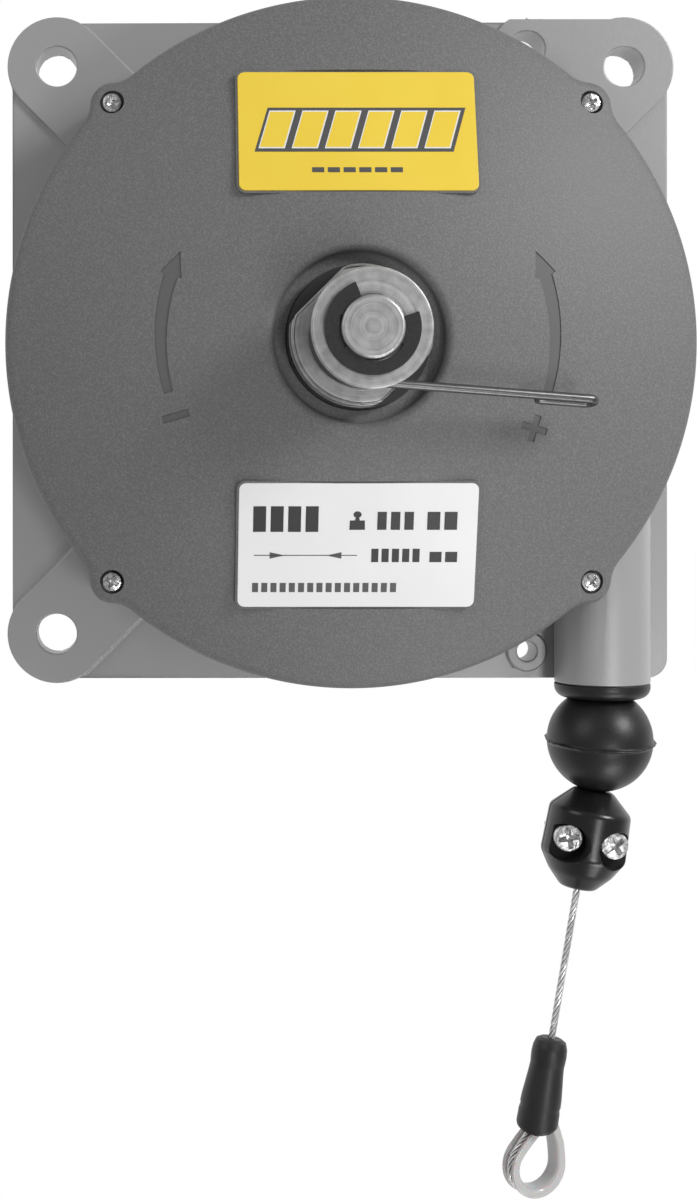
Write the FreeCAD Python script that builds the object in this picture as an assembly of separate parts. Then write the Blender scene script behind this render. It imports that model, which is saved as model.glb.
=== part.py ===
import FreeCAD, Part
import math
import os

# A spring tool balancer, in millimetres. X is to the right as seen from the front, Z is up, and the
# origin is on the hub axis, on the flat back that bears on the wall. A depth is counted from that
# back towards the front, so that a point at depth d lies at Y = -d. The rope leaves the drum straight
# down, through the nose at the lower right, to the buffer ball. A drop is a distance below that ball's
# centre, along the axis of the tail that hangs from it.

V = FreeCAD.Vector
FORWARD = V(0, -1, 0)
UP = V(0, 0, 1)

# Clearances
RUNNING_FIT = 0.1  # radial, between turning pieces
SEAT_FIT = 0.05  # radial, between fixed pieces
SIDE_PLAY = 0.2  # axial, between pieces that turn on each other
CLEARANCE = 2.0  # between moving pieces and the walls round them

# Rope and drum
ROPE_R = 1.0
ROPE_TURNS = 5
WINDING_R = 77.5  # from the hub axis to the rope's centre
GROOVE_PITCH = 2.2
DRUM_FLANGE_RISE = 7.0
DRUM_FLANGE_T = 2.0
DRUM_WALL = 3.0
DRUM_HUB_R = 14.0
DRUM_HUB_L = 7.0
CUP_BACKING = 1.5  # left under the rope bed, outside the cup's wall
RIM_LIP = 4.0

# Base casting
BACK_WALL = 5.0
BASE_T = 11.5
FLOOR_GAP = 7.0  # behind the drum
CHAMBER_GAP = 8.0  # round the drum
CHAMBER_WALL = 4.5
BASE_MARGIN = 3.5
PAD_RISE = 1.5
EAR_INSET = 13.5
EAR_R = 15.0
EAR_HOLE_R = 6.0
CORNER_R = 6.0
EYE_X = 56.5
EYE_INSET = 8.2
EYE_HOLE_R = 5.5
EYE_PAD_R = 10.5
EYE_PAD_RISE = 0.9
LOW_HOLE_R = 3.0
LOW_RING_R = 6.0
CORE_WALL = 5.0
HUB_BOSS_R = 15.0
NOSE_R = 14.0
NOSE_LAND = 0.5  # of the nose below the base's lower edge
ROPE_WAY_R = 4.0

# Cover
COVER_OVERHANG = 4.0
COVER_WALL = 3.0
COVER_RIM_WALL = 4.5
COVER_EDGE_R = 3.0
DOME_R = 248.0
COLUMN_R = 6.3
COLUMN_INSET = 2.3  # of the screws, from the cover's edge
COLUMN_BLEND_R = 10.0
HUB_GROOVE_R = 24.0
HUB_BACKING = 3.5
LABEL_W = 67.0
LABEL_H = 36.0
LABEL_T = 0.4
LABEL_MARGIN = 1.0
LABEL_PLACE_RATIO = 0.586  # of the cover's radius, from the hub axis to the label's middle
LABEL_CORNER_R = 2.0
PAD_T = 4.0

# Axle, arbor and clutch
AXLE_R = 8.5
AXLE_HEAD_R = 13.0
AXLE_HEAD_T = 3.0
AXLE_END = 1.2  # in front of the clip
AXLE_CHAMFER = 0.6
SHIM_T = 0.8
BUSH_WALL = 2.0
BUSH_FLANGE_T = 1.2
BUSH_FLANGE_RISE = 2.5
SLEEVE_R = 14.0
JOURNAL_R = 16.5
COVER_BUSH_WALL = 3.7
COVER_BUSH_L = 10.0
ARBOR_FLANGE_R = 19.7
ARBOR_FLANGE_T = 2.8
FLANGE_SUNK = 1.0  # below the crown of the dome
WRENCH_R = 18.9
WRENCH_ACROSS = 33.0
WRENCH_T = 4.0
NECK_R = 12.45
NECK_LENGTH = 8.8
COLLAR_LENGTH = 10.0
PIN_R = 1.5
PIN_COVER = 0.5  # of the collar in front of its pin
WASHER_R = 16.3
WASHER_T = 1.6
CLIP_R = 12.75
CLIP_T = 1.4
CLIP_DEPTH = 0.7  # of its groove in the axle
CLIP_BODY = 3.6
CLIP_OPENING = (19, 111)
CLIP_LOBES = ((111, 160), (215, 260), (330, 379))
TOOTH_RISE = 2.2
TOOTH_W = 5.0

# Wrap spring and its lever
WIRE_R = 1.25
COIL_TURNS = 4.25
COIL_PITCH = 2.6
COIL_STEPS = 24  # straight lengths in a turn
WIRE_SIDES = 8
FOLD_STEPS = 6
LEVER_LENGTH = 61.0
LEVER_FALL = 4.2
LEVER_LEAN = 10.0  # towards the cover
GRIP_R = 2.1
GRIP_RETURN = 13.0

# Mainspring
SPRING_WIDTH = 21.5
SPRING_GAP = 1.0
SPRING_T = 1.0
SPRING_TURNS = 5
ANCHOR_R = 2.0
LID_T = 2.5
LID_SCREWS = 6
LID_SCREW_R = 1.5
LID_HEAD_R = 2.8
LID_HEAD_T = 1.8
LID_SCREW_INSET = 0.6
LID_HUB_WALL = 4.0

# Cover screws
SCREW_R = 1.5
SCREW_HEAD_R = 2.8
SCREW_HEAD_T = 2.2
SCREW_GRIP = 12.0
COUNTERBORE_R = 3.5
COUNTERBORE_FLOOR = 3.0

# Outlet bush and buffer ball
BUSH_LIP_T = 4.5
BUSH_SPIGOT_R = 9.0
BUSH_SPIGOT_L = 12.0
BUSH_EDGE_R = 3.4
BUSH_HOLE_R = 2.6
BALL_R = 16.0
BALL_GAP = 0.3
BALL_SUNK = 1.3  # the ball's top, below the top of the bush's lip
ROPE_HOLE_FIT = 0.3
BALL_FLARE = 17.0  # degrees, each side
BALL_FLAT = 15.0  # drop of the flat that the clamp bears on

# Rope clamp
TILT = 9.6  # degrees that the tail hangs to the left
CLAMP_TOP_R = 5.5
CLAMP_R = 12.4
CLAMP_SHOULDER = 20.6
CLAMP_HEEL = 34.0
CLAMP_TIP = 45.0
CLAMP_TIP_R = 4.6
CLAMP_TIP_ROUND = 1.2
CLAMP_SPLIT = 0.4
CLAMP_PITCH = 7.0  # of its screws from the rope
CLAMP_FLOOR = 5.0
CLAMP_SCREW_DROP = 28.4
CLAMP_POCKET_R = 5.7
CLAMP_SCREW_R = 2.0
CLAMP_HEAD_R = 4.2
CLAMP_HEAD_T = 3.0
NUT_ACROSS = 7.0
NUT_T = 3.2

# Rope end
FERRULE_TOP = 97.0
FERRULE_END = 112.5
FERRULE_HALF_W = 3.4
FERRULE_HALF_T = 2.3
SLEEVE_TOP = 90.4
SLEEVE_END = 120.0
SLEEVE_HEAD_R = 5.2
SLEEVE_WAIST_R = 4.9
SLEEVE_FOOT_R = 6.3
SLEEVE_BORE_R = 3.9
SLEEVE_MOUTH_R = 5.2
THIMBLE_CENTRE = 129.7
THIMBLE_R = 9.2
THIMBLE_EYE_R = 5.0
THIMBLE_T = 6.4
THIMBLE_TAPER = 20.2  # degrees, each limb from the axis
THIMBLE_YAW = 17.0
GROOVE_DEPTH = 2.4
GROOVE_W = 2.6

# Places that follow from the sizes above
NOSE_X = WINDING_R
DRUM_BACK = BACK_WALL + FLOOR_GAP
BAND_BACK = DRUM_BACK + DRUM_FLANGE_T
BAND_FRONT = BAND_BACK + GROOVE_PITCH * ROPE_TURNS
NOSE_DEPTH = (BAND_BACK + BAND_FRONT) / 2
PARTING = NOSE_DEPTH + NOSE_R
BED_R = WINDING_R - ROPE_R
CUP_R = BED_R - DRUM_WALL - CUP_BACKING
DRUM_FLANGE_R = BED_R + DRUM_FLANGE_RISE
CHAMBER_R = DRUM_FLANGE_R + CHAMBER_GAP
CHAMBER_OUTER_R = CHAMBER_R + CHAMBER_WALL
COVER_R = CHAMBER_OUTER_R + COVER_OVERHANG
HALF = CHAMBER_OUTER_R + BASE_MARGIN
PAD_FRONT = BASE_T + PAD_RISE
EAR = HALF - EAR_INSET
EARS = ((-EAR, EAR), (EAR, EAR), (-EAR, -EAR))
EYE_Z = HALF - EYE_INSET
COLUMN_PITCH_R = COVER_R - COLUMN_INSET
COLUMN = COLUMN_PITCH_R / math.sqrt(2)
COLUMNS = ((COLUMN, COLUMN), (-COLUMN, COLUMN), (-COLUMN, -COLUMN), (COLUMN, -COLUMN))

HUB_BOSS_FRONT = DRUM_BACK - BUSH_FLANGE_T - SHIM_T
SHIM_FRONT = HUB_BOSS_FRONT + SHIM_T
BUSH_R = AXLE_R + BUSH_WALL
CUP_FLOOR = DRUM_BACK + DRUM_WALL
CUP_FRONT = CUP_FLOOR + SPRING_WIDTH + 2 * SPRING_GAP
RIM_R = CUP_R + DRUM_WALL + RIM_LIP
LID_SCREW_PITCH_R = RIM_R - LID_HEAD_R - LID_SCREW_INSET
LID_FRONT = CUP_FRONT + LID_T
LID_BUSH_BACK = CUP_FRONT - SPRING_GAP + SIDE_PLAY
LID_HUB_R = SLEEVE_R + BUSH_WALL + LID_HUB_WALL
DRUM_HUB_FRONT = CUP_FLOOR + SPRING_GAP + DRUM_HUB_L
ARBOR_BACK = DRUM_HUB_FRONT + SIDE_PLAY


def sagitta(radius):
    """How far the dome has fallen from its crown at a radius."""
    return DOME_R - math.sqrt(DOME_R ** 2 - radius ** 2)


CROWN = LID_FRONT + LID_HEAD_T + CLEARANCE + sagitta(RIM_R) + COVER_WALL
FLANGE_FRONT = CROWN - FLANGE_SUNK
JOURNAL_FRONT = FLANGE_FRONT - ARBOR_FLANGE_T
GROOVE_FLOOR = JOURNAL_FRONT - SIDE_PLAY
WRENCH_FRONT = FLANGE_FRONT + WRENCH_T
NECK_FRONT = WRENCH_FRONT + NECK_LENGTH
COLLAR_BACK = NECK_FRONT + SIDE_PLAY
COLLAR_FRONT = COLLAR_BACK + COLLAR_LENGTH
WASHER_FRONT = COLLAR_FRONT + WASHER_T
CLIP_BACK = WASHER_FRONT + SEAT_FIT
CLIP_FRONT = CLIP_BACK + CLIP_T
PIN_DEPTH = COLLAR_FRONT - PIN_R - PIN_COVER
COVER_BUSH_R = JOURNAL_R + COVER_BUSH_WALL
COVER_BUSH_BACK = GROOVE_FLOOR - COVER_BUSH_L
JOURNAL_BACK = COVER_BUSH_BACK - BUSH_FLANGE_T - SIDE_PLAY
LID_HUB_FRONT = JOURNAL_BACK - SIDE_PLAY
LABEL_OFFSET = LABEL_PLACE_RATIO * COVER_R
LABEL_ANGLE = math.degrees(math.asin(LABEL_OFFSET / DOME_R))

NOSE_END = -HALF - NOSE_LAND
BALL_TOP = NOSE_END - BALL_SUNK
BALL = V(NOSE_X, -NOSE_DEPTH, BALL_TOP - BALL_R)


# Building blocks

def at(x, depth, z):
    """The point right of the hub axis, in front of the back and above the hub axis."""
    return V(x, -depth, z)


def heading(angle):
    """A unit vector in the X-Z plane, from +X towards +Z."""
    return V(math.cos(math.radians(angle)), 0, math.sin(math.radians(angle)))


def disc(radius, back, front, x=0.0, z=0.0):
    """A cylinder that points to the front."""
    return Part.makeCylinder(radius, front - back, at(x, back, z), FORWARD)


def ring(outer, inner, back, front, x=0.0, z=0.0):
    return disc(outer, back, front, x, z).cut(disc(inner, back, front, x, z))


def slab(left, right, low, high, back, front):
    """A box between two sides, two heights and two depths."""
    return Part.makeBox(right - left, front - back, high - low, at(left, front, low))


def prism(edges, back, front):
    """A plate between two depths, with an outline of edges in the X-Z plane."""
    face = Part.Face(Part.Wire(edges))
    face.translate(at(0, back, 0))
    return face.extrude(FORWARD * (front - back))


def polygon(points):
    """The edges of a closed polygon in the X-Z plane."""
    return Part.makePolygon([V(x, 0, z) for x, z in points + points[:1]]).Edges


def arc(centre, radius, start, end):
    """An arc in the X-Z plane from one heading to another."""
    return Part.Arc(*(centre + heading(a) * radius for a in (start, (start + end) / 2, end))).toShape()


def sector(outer, inner, start, end, back, front):
    """A piece of a flat ring between two headings."""
    middle = V(0, 0, 0)
    sides = [Part.LineSegment(heading(a) * inner, heading(a) * outer).toShape() for a in (start, end)]
    edges = [arc(middle, outer, start, end), arc(middle, inner, start, end)] + sides
    return prism(Part.__sortEdges__(edges), back, front)


def outline(first, *steps):
    """A closed wire. A step is a point that a line goes to, or an arc's middle and its end."""
    edges = []
    here = first
    for step in steps + (first,):
        if isinstance(step, tuple):
            edges.append(Part.Arc(here, *step).toShape())
            here = step[1]
        elif here.distanceToPoint(step) > 1e-6:
            edges.append(Part.LineSegment(here, step).toShape())
            here = step
    return Part.Wire(edges)


def turned(*profile):
    """A solid turned about the hub axis, from an outline of (radius, depth) points."""
    return Part.Face(outline(*(at(r, d, 0) for r, d in profile))).revolve(V(0, 0, 0), FORWARD, 360)


def hung(radius, drop, depth=0.0):
    """The point at a radius from the upright line through the ball, below the ball's centre."""
    return BALL + V(radius, -depth, -drop)


def hung_turned(first, *steps):
    """A solid turned about the upright line through the ball's centre."""
    return Part.Face(outline(first, *steps)).revolve(BALL, UP, 360)


def tilted(shape):
    """Swings a piece of the tail from the upright line to the way it hangs at rest."""
    turned_shape = shape.copy()
    turned_shape.rotate(BALL, V(0, 1, 0), TILT)
    return turned_shape


def fuse(first, *others):
    return first.multiFuse(list(others)).removeSplitter()


def eared_disc(radius, ear_r):
    """The outline of a disc with a screw ear on each diagonal, blended by hollow arcs."""
    middle = V(0, 0, 0)
    blend = radius + COLUMN_BLEND_R
    near = ear_r + COLUMN_BLEND_R
    pitch = COLUMN_PITCH_R
    swing = math.degrees(math.acos((blend ** 2 + pitch ** 2 - near ** 2) / (2 * blend * pitch)))
    edges = []
    for diagonal in (45, 135, 225, 315):
        ear = heading(diagonal) * pitch
        low = heading(diagonal - swing) * blend
        high = heading(diagonal + swing) * blend
        low_out = math.degrees(math.atan2((low - ear).z, (low - ear).x))
        half = (diagonal - low_out) % 360
        edges.append(arc(low, COLUMN_BLEND_R, diagonal - swing + 180, diagonal - half + 180))
        edges.append(arc(ear, ear_r, diagonal - half, diagonal + half))
        edges.append(arc(high, COLUMN_BLEND_R, diagonal + half + 180, diagonal + swing + 180))
        edges.append(arc(middle, radius, diagonal + swing, diagonal + 90 - swing))
    return edges


# Base

def base_plate():
    """The square plate. The corners that carry ears are cut away, and the fourth is rounded."""
    corner = V(HALF - CORNER_R, 0, CORNER_R - HALF)
    points = [(HALF, EAR), (EAR, HALF), (-EAR, HALF), (-HALF, EAR), (-HALF, -EAR), (-EAR, -HALF)]
    rounded = [corner + heading(-90) * CORNER_R, corner + heading(-45) * CORNER_R, corner + heading(0) * CORNER_R]
    wire = outline(*(V(x, 0, z) for x, z in points), rounded[0], (rounded[1], rounded[2]))
    return Part.Face(wire).extrude(FORWARD * BASE_T)


def ear_band(x, z, half_width, front):
    """The raised band that runs from an ear to the chamber."""
    out = V(x, 0, z).normalize()
    side = V(-out.z, 0, out.x) * half_width
    far = V(x, 0, z)
    near = out * CHAMBER_R
    corners = [far + side, near + side, near - side, far - side]
    return prism(polygon([(p.x, p.z) for p in corners]), 0, front)


def eye_pad():
    """The raised land round the hanging eye, which runs into the ear beside it."""
    top = HALF + EYE_PAD_RISE
    near = heading(45) * CHAMBER_R
    land = prism(polygon([(EYE_X, top), (EAR, top), (EAR, EAR), (near.x, near.z), (EYE_X, EYE_Z - EYE_PAD_R)]),
                 0, PAD_FRONT)
    above = slab(EYE_X - 2 * EYE_PAD_R, EYE_X, top, top + EYE_PAD_R, 0, PAD_FRONT)
    return land.fuse(disc(EYE_PAD_R, 0, PAD_FRONT, EYE_X, EYE_Z).cut(above))


def corner_cores():
    """The hollows that lighten the corners from behind, beside each ear."""
    inner = HALF - CORE_WALL
    depth = BASE_T - CORE_WALL + 1
    field = slab(-inner, inner, -inner, inner, 0, depth)
    field = field.cut(disc(CHAMBER_OUTER_R + CORE_WALL, 0, depth))
    field = field.cut(slab(0, HALF, -HALF, 0, 0, depth))
    field = field.cut(disc(EYE_PAD_R, 0, depth, EYE_X, EYE_Z))
    for x, z in EARS:
        field = field.cut(ear_band(x, z, EAR_R, depth))
    return field


def base_housing():
    """The die-cast base: plate, ears, drum chamber, axle boss and rope nose in one piece."""
    lands = [base_plate(), eye_pad(), prism(eared_disc(CHAMBER_OUTER_R, COLUMN_R - 0.5), 0, PARTING)]
    for x, z in EARS:
        lands.append(disc(EAR_R, 0, PAD_FRONT, x, z))
        lands.append(ear_band(x, z, EAR_R, PAD_FRONT))
    lands.append(disc(LOW_RING_R, 0, PAD_FRONT, EYE_X, -EYE_Z))
    lands.append(Part.makeCylinder(NOSE_R, -NOSE_END, at(NOSE_X, NOSE_DEPTH, NOSE_END), UP))
    body = fuse(*lands)
    body = body.cut(disc(CHAMBER_R, BACK_WALL, PARTING + 1))
    body = body.fuse(disc(HUB_BOSS_R, BACK_WALL, HUB_BOSS_FRONT))
    holes = [disc(EAR_HOLE_R, 0, PAD_FRONT, x, z) for x, z in EARS]
    holes += [disc(SCREW_R + SEAT_FIT, PARTING - SCREW_GRIP - 1, PARTING, x, z) for x, z in COLUMNS]
    holes.append(disc(EYE_HOLE_R, 0, PAD_FRONT, EYE_X, EYE_Z))
    holes.append(disc(LOW_HOLE_R, 0, PAD_FRONT, EYE_X, -EYE_Z))
    holes.append(disc(AXLE_HEAD_R + SEAT_FIT, 0, AXLE_HEAD_T))
    holes.append(disc(AXLE_R + SEAT_FIT, 0, HUB_BOSS_FRONT))
    holes.append(Part.makeCylinder(ROPE_WAY_R, -NOSE_END, at(NOSE_X, NOSE_DEPTH, NOSE_END), UP))
    holes.append(Part.makeCylinder(BUSH_SPIGOT_R, BUSH_SPIGOT_L + 1, at(NOSE_X, NOSE_DEPTH, NOSE_END), UP))
    holes.append(corner_cores())
    return body.cut(holes)


# Cover

def dome(crown, radius, back):
    """A disc under a dome."""
    return disc(radius, back, crown).common(Part.makeSphere(DOME_R, at(0, crown - DOME_R, 0)))


def on_label(shape, side):
    """Moves a piece made flat at the hub axis, facing front, onto the dome above or below the hub."""
    placed = shape.copy()
    placed.translate(at(0, DOME_R, 0) - at(0, 0, 0))
    placed.rotate(V(0, 0, 0), V(1, 0, 0), -side * LABEL_ANGLE)
    placed.translate(at(0, CROWN - DOME_R, 0))
    return placed


def rounded_plate(width, height, corner, back, front):
    """A flat plate with round corners, centred on the hub axis."""
    x = width / 2
    z = height / 2
    edges = []
    for start, cx, cz in ((0, x - corner, z - corner), (90, corner - x, z - corner),
                          (180, corner - x, corner - z), (270, x - corner, corner - z)):
        edges.append(arc(V(cx, 0, cz), corner, start, start + 90))
    for a, b in zip(edges[:4], edges[1:4] + edges[:1]):
        edges.append(Part.LineSegment(a.valueAt(a.LastParameter), b.valueAt(b.FirstParameter)).toShape())
    return prism(Part.__sortEdges__(edges), back, front)


def front_cover():
    """The domed cover: a shell with four screw ears, two label lands and a boss for the arbor's bush."""
    reach = COLUMN_PITCH_R + COLUMN_R + 1
    body = prism(eared_disc(COVER_R, COLUMN_R), PARTING, CROWN).common(dome(CROWN, reach, PARTING))
    top = [e for e in body.Edges if e.BoundBox.YMax < -PARTING - 1 and e.BoundBox.YMin > -CROWN + 1]
    side = CROWN - sagitta(COVER_R) - PARTING
    body = body.makeFillet(min(COVER_EDGE_R, 0.45 * side), top)
    for half in (1, -1):
        land = rounded_plate(LABEL_W + 2 * LABEL_MARGIN, LABEL_H + 2 * LABEL_MARGIN, LABEL_CORNER_R + LABEL_MARGIN, -PAD_T, 0)
        body = body.fuse(on_label(land, half))
    cavity = disc(COVER_R - COVER_RIM_WALL, PARTING, CROWN).common(dome(CROWN - COVER_WALL, reach, PARTING))
    cavity = cavity.cut(disc(HUB_GROOVE_R + HUB_BACKING, COVER_BUSH_BACK, CROWN))
    for x, z in COLUMNS:
        cavity = cavity.cut(disc(COLUMN_R, PARTING, CROWN, x, z))
    body = body.cut(cavity)
    floor = CROWN - sagitta(COLUMN_PITCH_R) - COUNTERBORE_FLOOR
    holes = [disc(HUB_GROOVE_R, GROOVE_FLOOR, CROWN), disc(COVER_BUSH_R + SEAT_FIT, COVER_BUSH_BACK, CROWN)]
    for x, z in COLUMNS:
        holes.append(disc(COUNTERBORE_R, floor, CROWN, x, z))
        holes.append(disc(SCREW_R + RUNNING_FIT, PARTING, CROWN, x, z))
    return body.cut(holes)


def cover_screws():
    """Four pan-head screws that hold the cover on the base's columns."""
    floor = CROWN - sagitta(COLUMN_PITCH_R) - COUNTERBORE_FLOOR
    screws = []
    for x, z in COLUMNS:
        shank = disc(SCREW_R, PARTING - SCREW_GRIP, floor, x, z)
        screws.append(shank.fuse(disc(SCREW_HEAD_R, floor, floor + SCREW_HEAD_T, x, z)))
    return Part.makeCompound(screws)


def label_plate(side):
    return on_label(rounded_plate(LABEL_W, LABEL_H, LABEL_CORNER_R, 0, LABEL_T), side)


def cover_bush():
    """The plastic bush in the cover's boss that the arbor turns in."""
    back = COVER_BUSH_BACK - BUSH_FLANGE_T
    bore = JOURNAL_R + RUNNING_FIT
    lip = COVER_BUSH_R + BUSH_FLANGE_RISE
    return turned((bore, back), (lip, back), (lip, COVER_BUSH_BACK), (COVER_BUSH_R, COVER_BUSH_BACK),
                  (COVER_BUSH_R, GROOVE_FLOOR), (bore, GROOVE_FLOOR))


# Axle, arbor and clutch

def cross_pin(length):
    """The pin through the clutch collar and the axle."""
    return Part.makeCylinder(PIN_R, length, at(-length / 2, PIN_DEPTH, 0), V(1, 0, 0))


def main_axle():
    """The fixed axle, with a head let into the back of the base and a groove for the clip."""
    end = CLIP_FRONT + AXLE_END
    groove_r = AXLE_R - CLIP_DEPTH
    axle = turned((0, 0), (AXLE_HEAD_R, 0), (AXLE_HEAD_R, AXLE_HEAD_T), (AXLE_R, AXLE_HEAD_T),
                  (AXLE_R, CLIP_BACK), (groove_r, CLIP_BACK), (groove_r, CLIP_FRONT + SEAT_FIT),
                  (AXLE_R, CLIP_FRONT + SEAT_FIT), (AXLE_R, end - AXLE_CHAMFER), (AXLE_R - AXLE_CHAMFER, end), (0, end))
    return axle.cut(cross_pin(3 * AXLE_R))


def tension_arbor():
    """The hub that winds the mainspring: spring sleeve and tooth, journal, flange, wrench part and clutch neck."""
    bore = AXLE_R + RUNNING_FIT
    body = turned((bore, ARBOR_BACK), (SLEEVE_R, ARBOR_BACK), (SLEEVE_R, JOURNAL_BACK), (JOURNAL_R, JOURNAL_BACK),
                  (JOURNAL_R, JOURNAL_FRONT), (ARBOR_FLANGE_R, JOURNAL_FRONT), (ARBOR_FLANGE_R, FLANGE_FRONT),
                  (NECK_R, FLANGE_FRONT), (NECK_R, NECK_FRONT), (bore, NECK_FRONT))
    wrench = ring(WRENCH_R, NECK_R - 1, FLANGE_FRONT, WRENCH_FRONT)
    flats = slab(-WRENCH_ACROSS / 2, WRENCH_ACROSS / 2, -WRENCH_R, WRENCH_R, FLANGE_FRONT, WRENCH_FRONT)
    flats.rotate(V(0, 0, 0), V(0, 1, 0), 45)
    tooth = slab(-TOOTH_W / 2, TOOTH_W / 2, SLEEVE_R - 1, SLEEVE_R + TOOTH_RISE, ARBOR_BACK,
                 CUP_FLOOR + SPRING_GAP + SPRING_WIDTH)
    return fuse(body, wrench.common(flats), tooth)


def clutch_collar():
    """The fixed collar in front of the arbor's neck, which the wrap spring grips as well."""
    body = ring(NECK_R, AXLE_R + SEAT_FIT, COLLAR_BACK, COLLAR_FRONT)
    return body.cut(cross_pin(3 * NECK_R))


def e_clip():
    """The clip that holds the stack on the axle: a bow open at one side, with three lobes in the groove."""
    start, end = CLIP_OPENING[1], CLIP_OPENING[0] + 360
    clip = sector(CLIP_R, CLIP_R - CLIP_BODY, start, end, CLIP_BACK, CLIP_FRONT)
    inner = AXLE_R - CLIP_DEPTH + SEAT_FIT
    lobes = [sector(CLIP_R - 1, inner, a, b, CLIP_BACK, CLIP_FRONT) for a, b in CLIP_LOBES]
    return fuse(clip, *lobes)


def faceted_wire(centres, sides_up, radius):
    """An eight-sided wire through points, each with the direction that its section keeps upright."""
    ahead = centres[1:] + [centres[-1] * 2 - centres[-2]]
    behind = [centres[0] * 2 - centres[1]] + centres[:-1]
    sections = []
    for centre, up, after, before in zip(centres, sides_up, ahead, behind):
        along = (after - before).normalize()
        across = along.cross(up).normalize()
        upright = across.cross(along)
        turns = [math.radians(360 * (i + 0.5) / WIRE_SIDES) for i in range(WIRE_SIDES)]
        corners = [centre + upright * (radius * math.cos(t)) + across * (radius * math.sin(t)) for t in turns]
        sections.append(Part.makePolygon(corners + corners[:1]))
    return Part.makeLoft(sections, True, True)


def wrap_spring_lever():
    """The clutch spring: wire wound on the neck and the collar, with a long tail folded back at its tip."""
    coil_r = NECK_R + RUNNING_FIT + WIRE_R
    back = WRENCH_FRONT + SIDE_PLAY + WIRE_R
    steps = round(COIL_TURNS * COIL_STEPS)
    centres = []
    ups = []
    for i in range(steps + 1):
        turned_by = math.radians(360 * (i - steps) / COIL_STEPS)
        inward = V(-math.sin(turned_by), 0, math.cos(turned_by))
        centres.append(inward * -coil_r + FORWARD * (back + COIL_PITCH * i / COIL_STEPS))
        ups.append(inward)
    last = centres[-1]
    tip = last + V(LEVER_LENGTH, LEVER_LEAN, -LEVER_FALL)
    along = (tip - last).normalize()
    behind = (V(0, 1, 0) - along * along.y).normalize()
    for i in range(FOLD_STEPS + 1):
        turn = math.pi * i / FOLD_STEPS
        centres.append(tip + along * (GRIP_R * (math.sin(turn) - 1)) + behind * (GRIP_R * (1 - math.cos(turn))))
    centres.append(centres[-1] - along * GRIP_RETURN)
    ups += [along.cross(behind) * -1] * (FOLD_STEPS + 2)
    return faceted_wire(centres, ups, WIRE_R)


# Drum

def cable_drum():
    """The drum: rope bed between two flanges, and inside it the cup for the mainspring."""
    bore = BUSH_R + SEAT_FIT
    wall_r = CUP_R + DRUM_WALL
    groove_front = BAND_FRONT + DRUM_FLANGE_T
    body = turned((bore, DRUM_BACK), (DRUM_FLANGE_R, DRUM_BACK), (DRUM_FLANGE_R, BAND_BACK), (BED_R, BAND_BACK),
                  (BED_R, BAND_FRONT), (DRUM_FLANGE_R, BAND_FRONT), (DRUM_FLANGE_R, groove_front),
                  (wall_r, groove_front), (wall_r, CUP_FRONT - DRUM_WALL), (RIM_R, CUP_FRONT - DRUM_WALL),
                  (RIM_R, CUP_FRONT), (CUP_R, CUP_FRONT), (CUP_R, CUP_FLOOR), (DRUM_HUB_R, CUP_FLOOR),
                  (DRUM_HUB_R, DRUM_HUB_FRONT), (bore, DRUM_HUB_FRONT))
    holes = [disc(LID_SCREW_R + SEAT_FIT, CUP_FRONT - DRUM_WALL, CUP_FRONT, x, z) for x, z in lid_screw_places()]
    anchor = anchor_place()
    holes.append(disc(ANCHOR_R + SEAT_FIT, DRUM_BACK, CUP_FLOOR, anchor.x, anchor.z))
    return body.cut(holes)


def lid_screw_places():
    points = [heading(360 * i / LID_SCREWS) * LID_SCREW_PITCH_R for i in range(LID_SCREWS)]
    return [(p.x, p.z) for p in points]


def anchor_place():
    """The centre of the pin that holds the mainspring's outer end."""
    return heading(180) * (CUP_R - 1.0 - ANCHOR_R)


def drum_bush_rear():
    bore = AXLE_R + RUNNING_FIT
    lip = BUSH_R + BUSH_FLANGE_RISE
    return turned((bore, SHIM_FRONT), (lip, SHIM_FRONT), (lip, DRUM_BACK), (BUSH_R, DRUM_BACK),
                  (BUSH_R, DRUM_HUB_FRONT), (bore, DRUM_HUB_FRONT))


def drum_bush_front():
    return ring(SLEEVE_R + BUSH_WALL, SLEEVE_R + RUNNING_FIT, LID_BUSH_BACK, LID_HUB_FRONT)


def spring_cover():
    """The lid that closes the spring cup and carries the drum's front bush."""
    bore = SLEEVE_R + BUSH_WALL + SEAT_FIT
    back = CUP_FRONT
    lid = turned((bore, back), (RIM_R, back), (RIM_R, LID_FRONT), (LID_HUB_R, LID_FRONT),
                 (LID_HUB_R, LID_HUB_FRONT), (bore, LID_HUB_FRONT))
    return lid.cut([disc(LID_SCREW_R + RUNNING_FIT, back, LID_FRONT, x, z) for x, z in lid_screw_places()])


def spring_cover_screws():
    screws = []
    for x, z in lid_screw_places():
        shank = disc(LID_SCREW_R, CUP_FRONT - DRUM_WALL, LID_FRONT, x, z)
        screws.append(shank.fuse(disc(LID_HEAD_R, LID_FRONT, LID_FRONT + LID_HEAD_T, x, z)))
    return Part.makeCompound(screws)


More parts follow.
